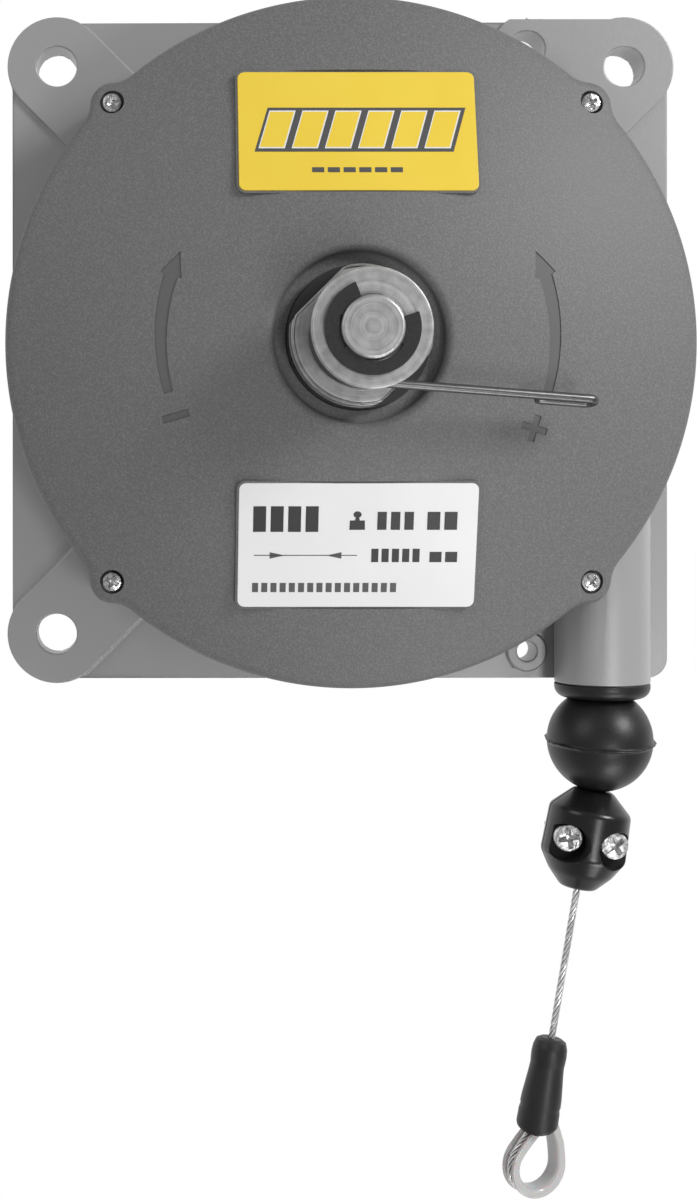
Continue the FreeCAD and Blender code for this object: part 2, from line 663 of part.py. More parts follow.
def mainspring():
    """A flat spiral strip from the arbor out to the anchor pin, in half turns that grow evenly."""
    inner = SLEEVE_R + TOOTH_RISE + 0.6
    outer = CUP_R - 2 * ANCHOR_R - 2.0 - SPRING_T
    halves = 2 * SPRING_TURNS
    step = (outer - inner) / halves
    sides = []
    for offset in (0, SPRING_T):
        side = []
        for i in range(halves):
            start = -180 * i
            radius = inner + step * (i + 0.5) + offset
            centre = heading(start) * (-step / 2)
            side.append(arc(centre, radius, start, start - 180))
        sides.append(side)
    caps = [Part.LineSegment(sides[0][i].valueAt(p), sides[1][i].valueAt(q)).toShape()
            for i, p, q in ((0, sides[0][0].FirstParameter, sides[1][0].FirstParameter),
                            (-1, sides[0][-1].LastParameter, sides[1][-1].LastParameter))]
    back = CUP_FLOOR + SPRING_GAP
    return prism(Part.__sortEdges__(sides[0] + sides[1] + caps), back, back + SPRING_WIDTH)


def spring_anchor_pin():
    place = anchor_place()
    return disc(ANCHOR_R, DRUM_BACK, CUP_FLOOR + SPRING_GAP + SPRING_WIDTH, place.x, place.z)


def rope_winding():
    """The rope on the drum, as one band of its outer shape."""
    return ring(WINDING_R + ROPE_R, BED_R, BAND_BACK + 0.1, BAND_FRONT - 0.1)


# Rope, ball and clamp

def rope_run():
    """The rope from beside the drum, down the nose, to the ball's centre."""
    clear = WINDING_R + ROPE_R + 0.3
    top = -math.sqrt(clear ** 2 - (WINDING_R - ROPE_R) ** 2)
    return Part.makeCylinder(ROPE_R, top - BALL.z, BALL, UP)


def outlet_bush():
    """The bush in the nose: a spigot, and a lip with a round seat for the ball."""
    seat_r = BALL_R + BALL_GAP
    lip_low = NOSE_END - BUSH_LIP_T
    low = BALL.z - lip_low
    edge_r = math.sqrt(seat_r ** 2 - low ** 2)
    mouth = math.sqrt(seat_r ** 2 - BUSH_HOLE_R ** 2)
    half = math.radians(90) - (math.asin(BUSH_HOLE_R / seat_r) + math.asin(edge_r / seat_r)) / 2
    seat_middle = hung(seat_r * math.cos(half), -seat_r * math.sin(half))
    nose = BALL.z - NOSE_END
    top = nose - BUSH_SPIGOT_L
    return hung_turned(
        hung(BUSH_HOLE_R, top), hung(BUSH_SPIGOT_R - SEAT_FIT, top), hung(BUSH_SPIGOT_R - SEAT_FIT, nose),
        hung(NOSE_R, nose), hung(NOSE_R, low - BUSH_EDGE_R), hung(NOSE_R - BUSH_EDGE_R, low),
        hung(edge_r, low), (seat_middle, hung(BUSH_HOLE_R, -mouth)))


def buffer_ball():
    """The rubber ball, with a flat for the clamp and a bore that flares upwards."""
    bore = ROPE_R + ROPE_HOLE_FIT
    flat_r = math.sqrt(BALL_R ** 2 - BALL_FLAT ** 2)
    flare_r = bore + BALL_R * math.tan(math.radians(BALL_FLARE))
    top = -math.sqrt(BALL_R ** 2 - flare_r ** 2)
    low_angle = math.asin(BALL_FLAT / BALL_R) / 2
    high_angle = math.asin(-top / BALL_R) / 2
    return tilted(hung_turned(
        hung(bore, BALL_FLAT), hung(flat_r, BALL_FLAT),
        (hung(BALL_R * math.cos(low_angle), BALL_R * math.sin(low_angle)), hung(BALL_R, 0)),
        (hung(BALL_R * math.cos(high_angle), -BALL_R * math.sin(high_angle)), hung(flare_r, top)), hung(bore, 0)))


def clamp_body():
    """The barrel of the rope clamp before it is split, with its rope bore."""
    bore = ROPE_R + SEAT_FIT
    tip = CLAMP_TIP - CLAMP_TIP_ROUND
    rounded = hung(CLAMP_TIP_R - 0.3 * CLAMP_TIP_ROUND, CLAMP_TIP - 0.3 * CLAMP_TIP_ROUND)
    return hung_turned(
        hung(bore, BALL_FLAT), hung(CLAMP_TOP_R, BALL_FLAT), hung(CLAMP_R, CLAMP_SHOULDER),
        hung(CLAMP_R, CLAMP_HEEL), hung(CLAMP_TIP_R, tip), (rounded, hung(CLAMP_TIP_R - CLAMP_TIP_ROUND, CLAMP_TIP)),
        hung(bore, CLAMP_TIP))


def across_clamp(shape, side):
    """Moves a piece from the hub axis to a clamp screw's axis, with its depths counted from the split."""
    placed = shape.copy()
    placed.translate(hung(side * CLAMP_PITCH, CLAMP_SCREW_DROP))
    return placed


def hexagon(across, back, front):
    points = [heading(60 * i) * (across / math.sqrt(3)) for i in range(6)]
    return prism(polygon([(p.x, p.z) for p in points]), back, front)


def clamp_half(front):
    """One half of the clamp, with side-open pockets for the screw heads, or traps for the nuts."""
    split = CLAMP_SPLIT / 2
    box = 2 * CLAMP_R
    keep = Part.makeBox(2 * box, box, 2 * CLAMP_TIP, hung(-box, 1.5 * CLAMP_TIP, box + split if front else -split))
    half = clamp_body().common(keep)
    cuts = []
    for side in (-1, 1):
        cuts.append(across_clamp(disc(CLAMP_SCREW_R + RUNNING_FIT, -CLAMP_R, CLAMP_R), side))
        if front:
            cuts.append(across_clamp(disc(CLAMP_POCKET_R, CLAMP_FLOOR, CLAMP_R), side))
        else:
            cuts.append(across_clamp(hexagon(NUT_ACROSS + 2 * RUNNING_FIT, -CLAMP_R, -CLAMP_FLOOR), side))
    return tilted(half.cut(cuts))


def clamp_screws():
    screws = []
    for side in (-1, 1):
        shank = disc(CLAMP_SCREW_R, -CLAMP_FLOOR - NUT_T, CLAMP_FLOOR)
        head = disc(CLAMP_HEAD_R, CLAMP_FLOOR, CLAMP_FLOOR + CLAMP_HEAD_T)
        screws.append(tilted(across_clamp(shank.fuse(head), side)))
    return Part.makeCompound(screws)


def clamp_nuts():
    nuts = []
    for side in (-1, 1):
        nut = hexagon(NUT_ACROSS, -CLAMP_FLOOR - NUT_T, -CLAMP_FLOOR)
        nut = nut.cut(disc(CLAMP_SCREW_R + SEAT_FIT, -CLAMP_FLOOR - NUT_T, -CLAMP_FLOOR))
        nuts.append(tilted(across_clamp(nut, side)))
    return Part.makeCompound(nuts)


# Rope end

def tail_rope(start, end):
    """The straight rope between two drops."""
    return tilted(Part.makeCylinder(ROPE_R, end - start, hung(0, end), UP))


def crimp_ferrule():
    """The pressed oval ferrule that closes the rope's eye."""
    flat = FERRULE_HALF_W - FERRULE_HALF_T
    ends = [Part.makeCylinder(FERRULE_HALF_T, FERRULE_END - FERRULE_TOP, hung(x, FERRULE_END), UP)
            for x in (-flat, flat)]
    middle = Part.makeBox(2 * flat, 2 * FERRULE_HALF_T, FERRULE_END - FERRULE_TOP,
                          hung(-flat, FERRULE_END, FERRULE_HALF_T))
    return end_placed(fuse(middle, *ends))


def end_placed(shape):
    """Turns a piece of the rope end about the rope, then tilts it with the tail."""
    placed = shape.copy()
    placed.rotate(BALL, UP, THIMBLE_YAW)
    return tilted(placed)


def teardrop(radius, half_t, top):
    """A plate with a round foot whose sides converge upwards, cut off level at a drop."""
    angle = math.radians(THIMBLE_TAPER)
    touch = hung(radius * math.cos(angle), THIMBLE_CENTRE - radius * math.sin(angle), half_t)
    apex = THIMBLE_CENTRE - radius / math.sin(angle)
    foot = hung(0, THIMBLE_CENTRE + radius, half_t)
    mirror = V(2 * BALL.x - touch.x, touch.y, touch.z)
    if top is None:
        sides = [hung(0, apex, half_t)]
    else:
        reach = (top - apex) * math.tan(angle)
        sides = [hung(-reach, top, half_t), hung(reach, top, half_t)]
    wire = outline(touch, (foot, mirror), *sides)
    return Part.Face(wire).extrude(V(0, 2 * half_t, 0))


def thimble():
    """The nylon thimble: a teardrop ring with a groove for the rope round its outside."""
    half_t = THIMBLE_T / 2
    wall = (THIMBLE_T - GROOVE_W) / 2
    body = teardrop(THIMBLE_R, half_t, FERRULE_END)
    ring_cut = teardrop(THIMBLE_R + 1, GROOVE_W / 2, FERRULE_END - 1)
    core = teardrop(THIMBLE_R - GROOVE_DEPTH, GROOVE_W / 2 + wall / 2, FERRULE_END)
    body = body.cut(ring_cut.cut(core))
    return end_placed(body.cut(teardrop(THIMBLE_EYE_R, half_t, None)))


def rope_eye():
    """The rope's loop in the thimble's groove, with both ends in the ferrule."""
    centre_r = THIMBLE_R - GROOVE_DEPTH + ROPE_R + SEAT_FIT
    angle = math.radians(THIMBLE_TAPER)
    touch = hung(centre_r * math.cos(angle), THIMBLE_CENTRE - centre_r * math.sin(angle))
    mirror = hung(-centre_r * math.cos(angle), THIMBLE_CENTRE - centre_r * math.sin(angle))
    start = FERRULE_END + ROPE_R * math.sin(angle)
    reach = (start - THIMBLE_CENTRE + centre_r / math.sin(angle)) * math.tan(angle)
    left, right = hung(-reach, start), hung(reach, start)
    path = Part.Wire([Part.LineSegment(left, mirror).toShape(),
                      Part.Arc(mirror, hung(0, THIMBLE_CENTRE + centre_r), touch).toShape(),
                      Part.LineSegment(touch, right).toShape()])
    section = Part.Wire(Part.makeCircle(ROPE_R, left, mirror - left))
    print("rope eye radius", round(centre_r, 2), "straight rope has no bend")
    return end_placed(path.makePipeShell([section], True, False))


def end_sleeve():
    """The rubber boot over the ferrule, slit across at its foot for the thimble's limbs."""
    bore = ROPE_R + ROPE_HOLE_FIT
    body = hung_turned(
        hung(bore, SLEEVE_TOP), hung(SLEEVE_HEAD_R - 2.2, SLEEVE_TOP),
        hung(SLEEVE_HEAD_R - 0.6, SLEEVE_TOP + 1.4), hung(SLEEVE_HEAD_R, SLEEVE_TOP + 4),
        hung(SLEEVE_WAIST_R, FERRULE_TOP + 1), hung(SLEEVE_FOOT_R, SLEEVE_END - 8), hung(SLEEVE_FOOT_R, SLEEVE_END),
        hung(SLEEVE_MOUTH_R, SLEEVE_END), hung(SLEEVE_MOUTH_R, FERRULE_END), hung(SLEEVE_BORE_R, FERRULE_END),
        hung(SLEEVE_BORE_R, FERRULE_TOP), hung(bore, FERRULE_TOP))
    slit_half = THIMBLE_T / 2 + SEAT_FIT
    slit = Part.makeBox(3 * SLEEVE_FOOT_R, 2 * slit_half, SLEEVE_END - FERRULE_END,
                        hung(-1.5 * SLEEVE_FOOT_R, SLEEVE_END, slit_half))
    return end_placed(body.cut(slit))


NODES = {
    "base_housing": base_housing,
    "front_cover": front_cover,
    "cover_screws": cover_screws,
    "upper_label_plate": lambda: label_plate(1),
    "lower_label_plate": lambda: label_plate(-1),
    "cover_bush": cover_bush,
    "main_axle": main_axle,
    "drum_shim": lambda: ring(HUB_BOSS_R - 1, AXLE_R + SEAT_FIT, HUB_BOSS_FRONT, SHIM_FRONT),
    "clutch_collar": clutch_collar,
    "collar_pin": lambda: cross_pin(2 * NECK_R - 0.2),
    "front_washer": lambda: ring(WASHER_R, AXLE_R + SEAT_FIT, COLLAR_FRONT, WASHER_FRONT),
    "e_clip": e_clip,
    "tension_arbor": tension_arbor,
    "wrap_spring_lever": wrap_spring_lever,
    "cable_drum": cable_drum,
    "drum_bush_rear": drum_bush_rear,
    "drum_bush_front": drum_bush_front,
    "spring_cover": spring_cover,
    "spring_cover_screws": spring_cover_screws,
    "mainspring": mainspring,
    "spring_anchor_pin": spring_anchor_pin,
    "rope_winding": rope_winding,
    "rope_run": rope_run,
    "outlet_bush": outlet_bush,
    "buffer_ball": buffer_ball,
    "clamp_front_half": lambda: clamp_half(True),
    "clamp_back_half": lambda: clamp_half(False),
    "clamp_screws": clamp_screws,
    "clamp_nuts": clamp_nuts,
    "rope_in_clamp": lambda: tail_rope(1.2, CLAMP_TIP - 3),
    "rope_free": lambda: tail_rope(CLAMP_TIP - 3, FERRULE_TOP),
    "crimp_ferrule": crimp_ferrule,
    "end_sleeve": end_sleeve,
    "thimble": thimble,
    "rope_eye": rope_eye,
}

os.makedirs("parts", exist_ok=True)
for name, make in NODES.items():
    shape = make()
    shape.exportStep("parts/" + name + ".step")
    print(name, "valid" if shape.isValid() else "NOT VALID", len(shape.Solids), round(shape.Volume))
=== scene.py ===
import math
import bmesh
import bpy
import numpy as np
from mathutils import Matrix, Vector
from mathutils.kdtree import KDTree


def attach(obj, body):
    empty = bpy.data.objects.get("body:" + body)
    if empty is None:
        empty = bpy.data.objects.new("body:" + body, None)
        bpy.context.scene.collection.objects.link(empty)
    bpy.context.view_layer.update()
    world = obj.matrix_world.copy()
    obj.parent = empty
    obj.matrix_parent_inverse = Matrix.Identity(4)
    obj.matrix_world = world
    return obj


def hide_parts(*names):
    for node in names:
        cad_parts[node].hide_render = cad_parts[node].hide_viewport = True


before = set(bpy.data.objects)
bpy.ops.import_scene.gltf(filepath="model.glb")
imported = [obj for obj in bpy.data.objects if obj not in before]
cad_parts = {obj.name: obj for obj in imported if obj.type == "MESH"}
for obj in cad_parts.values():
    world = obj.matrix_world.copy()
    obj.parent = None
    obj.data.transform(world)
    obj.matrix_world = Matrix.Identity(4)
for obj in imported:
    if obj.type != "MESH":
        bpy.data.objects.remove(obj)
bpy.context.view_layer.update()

# Sizes are in millimetres, from the hub axis on the flat back: X to the right, Z up, and a depth d
# is at Y = -d. A mesh is turned into metres where it is made.
MM = 0.001


# ---------------------------------------------------------------- base housing
# The base is one aluminium pressure casting, painted light grey: a back plate with three ears, a
# hanging eye and the nose that guides the rope. Its edges are rounded by the die.

class Value:
    """A node's output. Arithmetic on it adds Math nodes."""

    def __init__(self, nodes, socket):
        self.nodes = nodes
        self.socket = socket

    def maths(self, operation, *values):
        return self.nodes.node("Math", {"operation": operation}, dict(enumerate(values)))

    def __add__(self, other):
        return self.maths("ADD", self, other)

    def __radd__(self, other):
        return self.maths("ADD", other, self)

    def __mul__(self, other):
        return self.maths("MULTIPLY", self, other)

    def __rmul__(self, other):
        return self.maths("MULTIPLY", other, self)

    def between(self, low, high):
        """0 below the low end, 1 above the high end, and smooth from one to the other."""
        return self.nodes.node("MapRange", {"interpolation_type": "SMOOTHSTEP"},
                               {"Value": self, "From Min": low, "From Max": high}, "Result")


class Nodes:
    """The node tree of a material or of the sky."""

    def __init__(self, tree):
        self.tree = tree

    def node(self, kind, settings=(), values=(), output=0):
        """Adds a node, sets it and its sockets, and gives the named or numbered output."""
        made = self.tree.nodes.new("ShaderNode" + kind)
        for name, value in dict(settings).items():
            setattr(made, name, value)
        for name, value in dict(values).items():
            self.feed(made.inputs[name], value)
        return Value(self, made.outputs[output])

    def feed(self, socket, value):
        if isinstance(value, Value):
            self.tree.links.new(value.socket, socket)
        else:
            socket.default_value = value


class Finish(Nodes):
    """A material: nodes in front of a Principled shader."""

    def __init__(self, name, **sockets):
        self.material = bpy.data.materials.new(name)
        self.material.use_nodes = True
        super().__init__(self.material.node_tree)
        self.shader = self.tree.nodes["Principled BSDF"]
        self.set(**sockets)

    def set(self, **sockets):
        """Sets or links sockets of the shader: base_color means Base Color, and so on."""
        names = {s.name.lower().replace(" ", "_"): s for s in self.shader.inputs}
        for name, value in sockets.items():
            self.feed(names[name], value)

    def place(self):
        return self.node("TexCoord", output="Object")

    def noise(self, size, detail=2.0, vector=None, roughness=0.5):
        """Noise from 0 to 1 with grains of about a size in millimetres."""
        values = {"Vector": vector or self.place(), "Scale": 1 / (size * MM), "Detail": detail,
                  "Roughness": roughness}
        return self.node("TexNoise", {}, values, "Fac")

    def mix(self, share, first, second):
        """A colour between two colours."""
        return self.node("Mix", {"data_type": "RGBA"}, {0: share, 6: first, 7: second}, 2)

    def bump(self, height, distance, strength=1.0):
        """Bends the normal by a height from 0 to 1 times a distance in millimetres."""
        values = {"Height": height, "Distance": distance * MM, "Strength": strength}
        return self.node("Bump", {}, values, "Normal")

    def from_axis(self):
        """The distance from the hub axis, in metres."""
        flat = self.node("VectorMath", {"operation": "MULTIPLY"}, {0: self.place(), 1: (1, 0, 1)})
        return self.node("VectorMath", {"operation": "LENGTH"}, {0: flat}, "Value")


def grey(level):
    """The linear colour of a screen grey from 0 to 255."""
    return colour(level, level, level)


def colour(*levels):
    """The linear colour of screen levels from 0 to 255."""
    shares = [level / 255 for level in levels]
    return tuple(s / 12.92 if s < 0.04045 else ((s + 0.055) / 1.055) ** 2.4 for s in shares) + (1.0,)


def smooth(mesh, angle=35):
    """Shades a mesh smooth, except over edges sharper than an angle."""
    mesh.polygons.foreach_set("use_smooth", [True] * len(mesh.polygons))
    mesh.set_sharp_from_angle(angle=math.radians(angle))


def piece(mesh, finish, body, slot, *nodes):
    """An object for a mesh, with its finish, the body it rides on and the CAD nodes that it stands for. A
    mesh that has the finish already keeps the finishes of its cuts too."""
    made = bpy.data.objects.new(mesh.name, mesh)
    bpy.context.scene.collection.objects.link(made)
    if not mesh.materials or mesh.materials[0] != finish.material:
        mesh.materials.clear()
        mesh.materials.append(finish.material)
    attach(made, body)
    if nodes:
        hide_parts(*nodes)
    return made


def surface(name, points, closed_rows=False, closed_columns=False):
    """A mesh through a grid of points in millimetres, of shape (rows, columns, 3): each four neighbours
    make a face, and a closed side joins its last points to its first. Points at one place become one, and
    the faces look outwards."""
    rows, columns = points.shape[:2]
    i, j = np.indices((rows - 1 + closed_rows, columns - 1 + closed_columns))
    down, right = (i + 1) % rows, (j + 1) % columns
    corners = (i * columns + j, i * columns + right, down * columns + right, down * columns + j)
    mesh = bpy.data.meshes.new(name)
    mesh.from_pydata((points.reshape(-1, 3) * MM).tolist(), [], np.stack(corners, -1).reshape(-1, 4).tolist())
    joined = bmesh.new()
    joined.from_mesh(mesh)
    bmesh.ops.remove_doubles(joined, verts=joined.verts, dist=2e-6)
    bmesh.ops.dissolve_degenerate(joined, edges=joined.edges, dist=1e-7)
    bmesh.ops.recalc_face_normals(joined, faces=joined.faces)
    joined.to_mesh(mesh)
    joined.free()
    smooth(mesh)
    return mesh


def plug(name, radius, back, front, x, z, sides=48):
    """A cutter for a round hole that points to the front."""
    angle = np.linspace(0, 2 * math.pi, sides, endpoint=False)
    rows = [np.stack((x + r * np.cos(angle), np.full_like(angle, -d), z + r * np.sin(angle)), -1)
            for r, d in ((0, back), (radius, back), (radius, front), (0, front))]
    return surface(name, np.array(rows), closed_columns=True)


def carved(mesh, cutters, finish, operation="DIFFERENCE"):
    """Cuts closed meshes out of a mesh, or joins them to it; their faces have the cutters' finish."""
    body = bpy.data.objects.new("body", mesh)
    tool_mesh = bpy.data.meshes.new("tool")
    tool = bpy.data.objects.new("tool", tool_mesh)
    joined = bmesh.new()
    for cutter in cutters:
        joined.from_mesh(cutter)
    joined.to_mesh(tool_mesh)
    joined.free()
    tool_mesh.materials.append(finish.material)
    for made in (body, tool):
        bpy.context.scene.collection.objects.link(made)
    cut = body.modifiers.new("cut", "BOOLEAN")
    cut.operation = operation
    cut.solver = "EXACT"
    cut.material_mode = "TRANSFER"
    cut.object = tool
    bpy.context.view_layer.update()
    result = bpy.data.meshes.new_from_object(body.evaluated_get(bpy.context.evaluated_depsgraph_get()))
    result.name = mesh.name
    for made in (body, tool):
        bpy.data.objects.remove(made)
    return result


def merged_copy(node, name, finish):
    """A copy of a CAD node's mesh in a finish, with its triangles joined and its flat faces made whole."""
    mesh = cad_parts[node].data.copy()
    mesh.name = name
    mesh.materials.clear()
    mesh.materials.append(finish.material)
    joined = bmesh.new()
    joined.from_mesh(mesh)
    bmesh.ops.remove_doubles(joined, verts=joined.verts, dist=1e-6)
    bmesh.ops.dissolve_limit(joined, angle_limit=math.radians(0.15), verts=joined.verts, edges=joined.edges)
    joined.to_mesh(mesh)
    joined.free()
    return mesh


def softened(node, name, width, finish, body, slot, angle=30, mesh=None):
    """A CAD piece, or a mesh that stands for it, with its sharp edges rounded by a width in millimetres."""
    mesh = mesh or merged_copy(node, name, finish)
    mesh.polygons.foreach_set("use_smooth", [True] * len(mesh.polygons))
    made = piece(mesh, finish, body, slot, node)
    bevel = made.modifiers.new("edges", "BEVEL")
    bevel.width = width * MM
    bevel.segments = 2
    bevel.limit_method = "ANGLE"
    bevel.angle_limit = math.radians(angle)
    bevel.use_clamp_overlap = False
    made.modifiers.new("shading", "WEIGHTED_NORMAL").keep_sharp = True
    return made


cast_paint = Finish("cast_grey_paint")
orange_peel = cast_paint.noise(1.6, 3.0)
grain = cast_paint.noise(0.35, 2.0)
cloud = cast_paint.noise(60.0, 2.0)
cast_paint.set(
    base_color=cast_paint.mix(cloud, grey(158), grey(166)),
    metallic=0.22,
    roughness=0.30 + 0.12 * orange_peel,
    normal=cast_paint.bump(orange_peel + 0.4 * grain, 0.04))

# Each ear is solid round its bore, and the eye's pad ends level with the edge of the plate beside it.
EAR = 86.0
EAR_FILL_R = 14.4
EAR_BORE_R = 6.04
PLATE_TOP = 100.42
casting = merged_copy("base_housing", "base_casting", cast_paint)
ears = [(-EAR, EAR), (EAR, EAR), (-EAR, -EAR)]
casting = carved(casting, [plug("fill", EAR_FILL_R, 0.6, 11.0, x, z) for x, z in ears], cast_paint, "UNION")
above_eye = np.array([[(x, y, z) for x, y in ((56.0, 1), (68.0, 1), (68.0, -14), (56.0, -14))]
                      for z in (PLATE_TOP, PLATE_TOP, 104.0, 104.0)])
above_eye[[0, 3], :, :2] = (62.0, -6.0)
cuts = [plug("bore", EAR_BORE_R, -1.0, 14.0, x, z) for x, z in ears]
casting = carved(casting, cuts + [surface("above_eye", above_eye, closed_columns=True)], cast_paint)
softened("base_housing", "base_casting", 0.5, cast_paint, "housing", "cast_body", 50, casting)


# ---------------------------------------------------------------- axle, shim and arbor
# The axle is a turned steel bar clamped through the casting. The arbor turns on it: a steel sleeve
# that holds the mainspring's inner end, with a flange and a wrench part in front of the cover.

AXLE_R = 8.5


def brushed(name, level, roughness, ring_size=1.1, bump=0.12):
    """Steel as a lathe leaves it: fine rings round the hub axis."""
    steel = Finish(name, metallic=1.0)
    stretched = steel.node("CombineXYZ", {}, {"X": steel.from_axis()})
    rings = steel.noise(ring_size, 4.0, stretched)
    stain = steel.noise(3.5, 4.0)
    steel.set(
        base_color=steel.mix((rings * 0.6 + stain * 0.4).between(0.3, 0.7), grey(level), grey(level - 62)),
        roughness=roughness + 0.18 * rings + 0.1 * stain,
        normal=steel.bump(rings, bump))
    return steel


turned_steel = brushed("turned_steel", 226, 0.28)
softened("main_axle", "axle", 0.25, turned_steel, "housing", "turned_steel")
# The wrench part is a disc with two flats at 45 degrees, cut down into the flange behind it.
HEAD_R = 19.64
FLAT_R = 16.55
FLAT_BACK = 56.5
arbor = merged_copy("tension_arbor", "arbor", turned_steel)
arbor = carved(arbor, [plug("head", HEAD_R, 57.2, 63.68, 0, 0)], turned_steel, "UNION")
arbor = carved(arbor, [plug("bore", AXLE_R + 0.12, 56.0, 65.0, 0, 0)], turned_steel)
flat = np.array([(FLAT_R, -24.0), (24.0, -24.0), (24.0, 24.0), (FLAT_R, 24.0)])
for side in (-1, 1):
    across, along = side * flat[:, 0], side * flat[:, 1]
    x, z = (across - along) / math.sqrt(2), -(across + along) / math.sqrt(2)
    ring = np.stack((x, 0 * x, z), -1)
    rows = np.stack([ring - (0, d, 0) for d in (FLAT_BACK, FLAT_BACK, 70.0, 70.0)])
    rows[[0, 3]] = rows[[0, 3]].mean(1, keepdims=True)
    arbor = carved(arbor, [surface("flat", rows, closed_columns=True)], turned_steel)
softened("tension_arbor", "arbor", 0.5, turned_steel, "arbor", "turned_steel", mesh=arbor)
softened("drum_shim", "shim", 0.1, turned_steel, "housing", "turned_steel")


# ---------------------------------------------------------------- drum, mainspring and lid
# Inside, the rope drum is moulded plastic on two bushes. It holds the mainspring, a blue steel strip,
# under a screwed lid. The rope lies in one layer on the drum's bed.

def plain(name, size, first, second, roughness):
    """A finish of one roughness, mottled between two colours."""
    made = Finish(name, roughness=roughness)
    made.set(base_color=made.mix(made.noise(size), first, second))
    return made


def metal(name, size, first, second, roughness, spread, detail=3.0):
    """A bare metal, mottled between two colours, that is rougher by the spread where it has the second."""
    made = Finish(name, metallic=1.0)
    cloud = made.noise(size, detail)
    made.set(base_color=made.mix(cloud, first, second), roughness=roughness + spread * cloud)
    return made


drum_plastic = plain("drum_plastic", 8.0, grey(52), grey(60), 0.5)
bush_plastic = plain("bush_plastic", 3.0, grey(40), grey(48), 0.4)
spring_steel = metal("spring_steel", 14.0, colour(70, 82, 110), colour(110, 112, 120), 0.25, 0.2)
rope_steel = metal("rope_steel", 1.2, grey(205), grey(160), 0.3, 0.2)

for names, finish in (
        (("cable_drum", "spring_cover"), drum_plastic),
        (("drum_bush_rear", "drum_bush_front", "cover_bush"), bush_plastic),
        (("mainspring",), spring_steel),
        (("spring_anchor_pin", "spring_cover_screws", "collar_pin"), turned_steel),
        (("rope_winding", "rope_run", "rope_in_clamp"), rope_steel)):
    for name in names:
        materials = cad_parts[name].data.materials
        materials.clear()
        materials.append(finish.material)


# ---------------------------------------------------------------- front cover
# The cover is a second casting, domed, in dark grey fine-textured paint. Four ears at its edge take
# the screws. Two arc arrows, a minus and a plus are sunk in it, and a soft groove runs round the hub.

DOME_R = 248.0
CROWN = 60.719
PARTING = 33.5
COVER_R = 100.0
EAR_PITCH_R = 97.7
EAR_R = 6.3
EAR_BLEND_R = 10.0
COVER_WALL = 3.0
RIM_WALL = 4.5
GROOVE_R = 24.0
GROOVE_FLOOR = 54.2
GROOVE_LIP = 2.2
GROOVE_WALL_R = 1.4
EDGE_R = 3.0
NECK_R = 27.5
NECK_BACK = 46.8
BORE_R = 20.25


def fall(radius):
    """How far the dome has fallen from its crown at a radius."""
    return DOME_R - np.sqrt(DOME_R ** 2 - radius ** 2)


def cover_edge(angle):
    """The cover's outer radius at an angle: a circle that swells round each screw ear. Between the circle
    and an ear the outline follows an arc of EAR_BLEND_R that touches both."""
    off = np.abs((angle % (math.pi / 2)) - math.pi / 4)
    ear = EAR_PITCH_R * np.cos(off) + np.sqrt(np.maximum(EAR_R ** 2 - (EAR_PITCH_R * np.sin(off)) ** 2, 0))
    ear = np.where(EAR_PITCH_R * np.sin(off) < EAR_R, ear, 0)
    blend_pitch = COVER_R + EAR_BLEND_R
    blend_at = math.acos((EAR_PITCH_R ** 2 + blend_pitch ** 2 - (EAR_R + EAR_BLEND_R) ** 2)
                         / (2 * EAR_PITCH_R * blend_pitch))
    side = np.abs(off - blend_at)
    reach = np.sqrt(np.maximum(EAR_BLEND_R ** 2 - (blend_pitch * np.sin(side)) ** 2, 0))
    hollow = blend_pitch * np.cos(side) - reach
    share = EAR_R / (EAR_R + EAR_BLEND_R)
    touch_x = EAR_PITCH_R + share * (blend_pitch * math.cos(blend_at) - EAR_PITCH_R)
    touch_z = share * blend_pitch * math.sin(blend_at)
    touch = math.atan2(touch_z, touch_x)
    return np.where(off < touch, ear, np.where(off < blend_at, hollow, COVER_R))


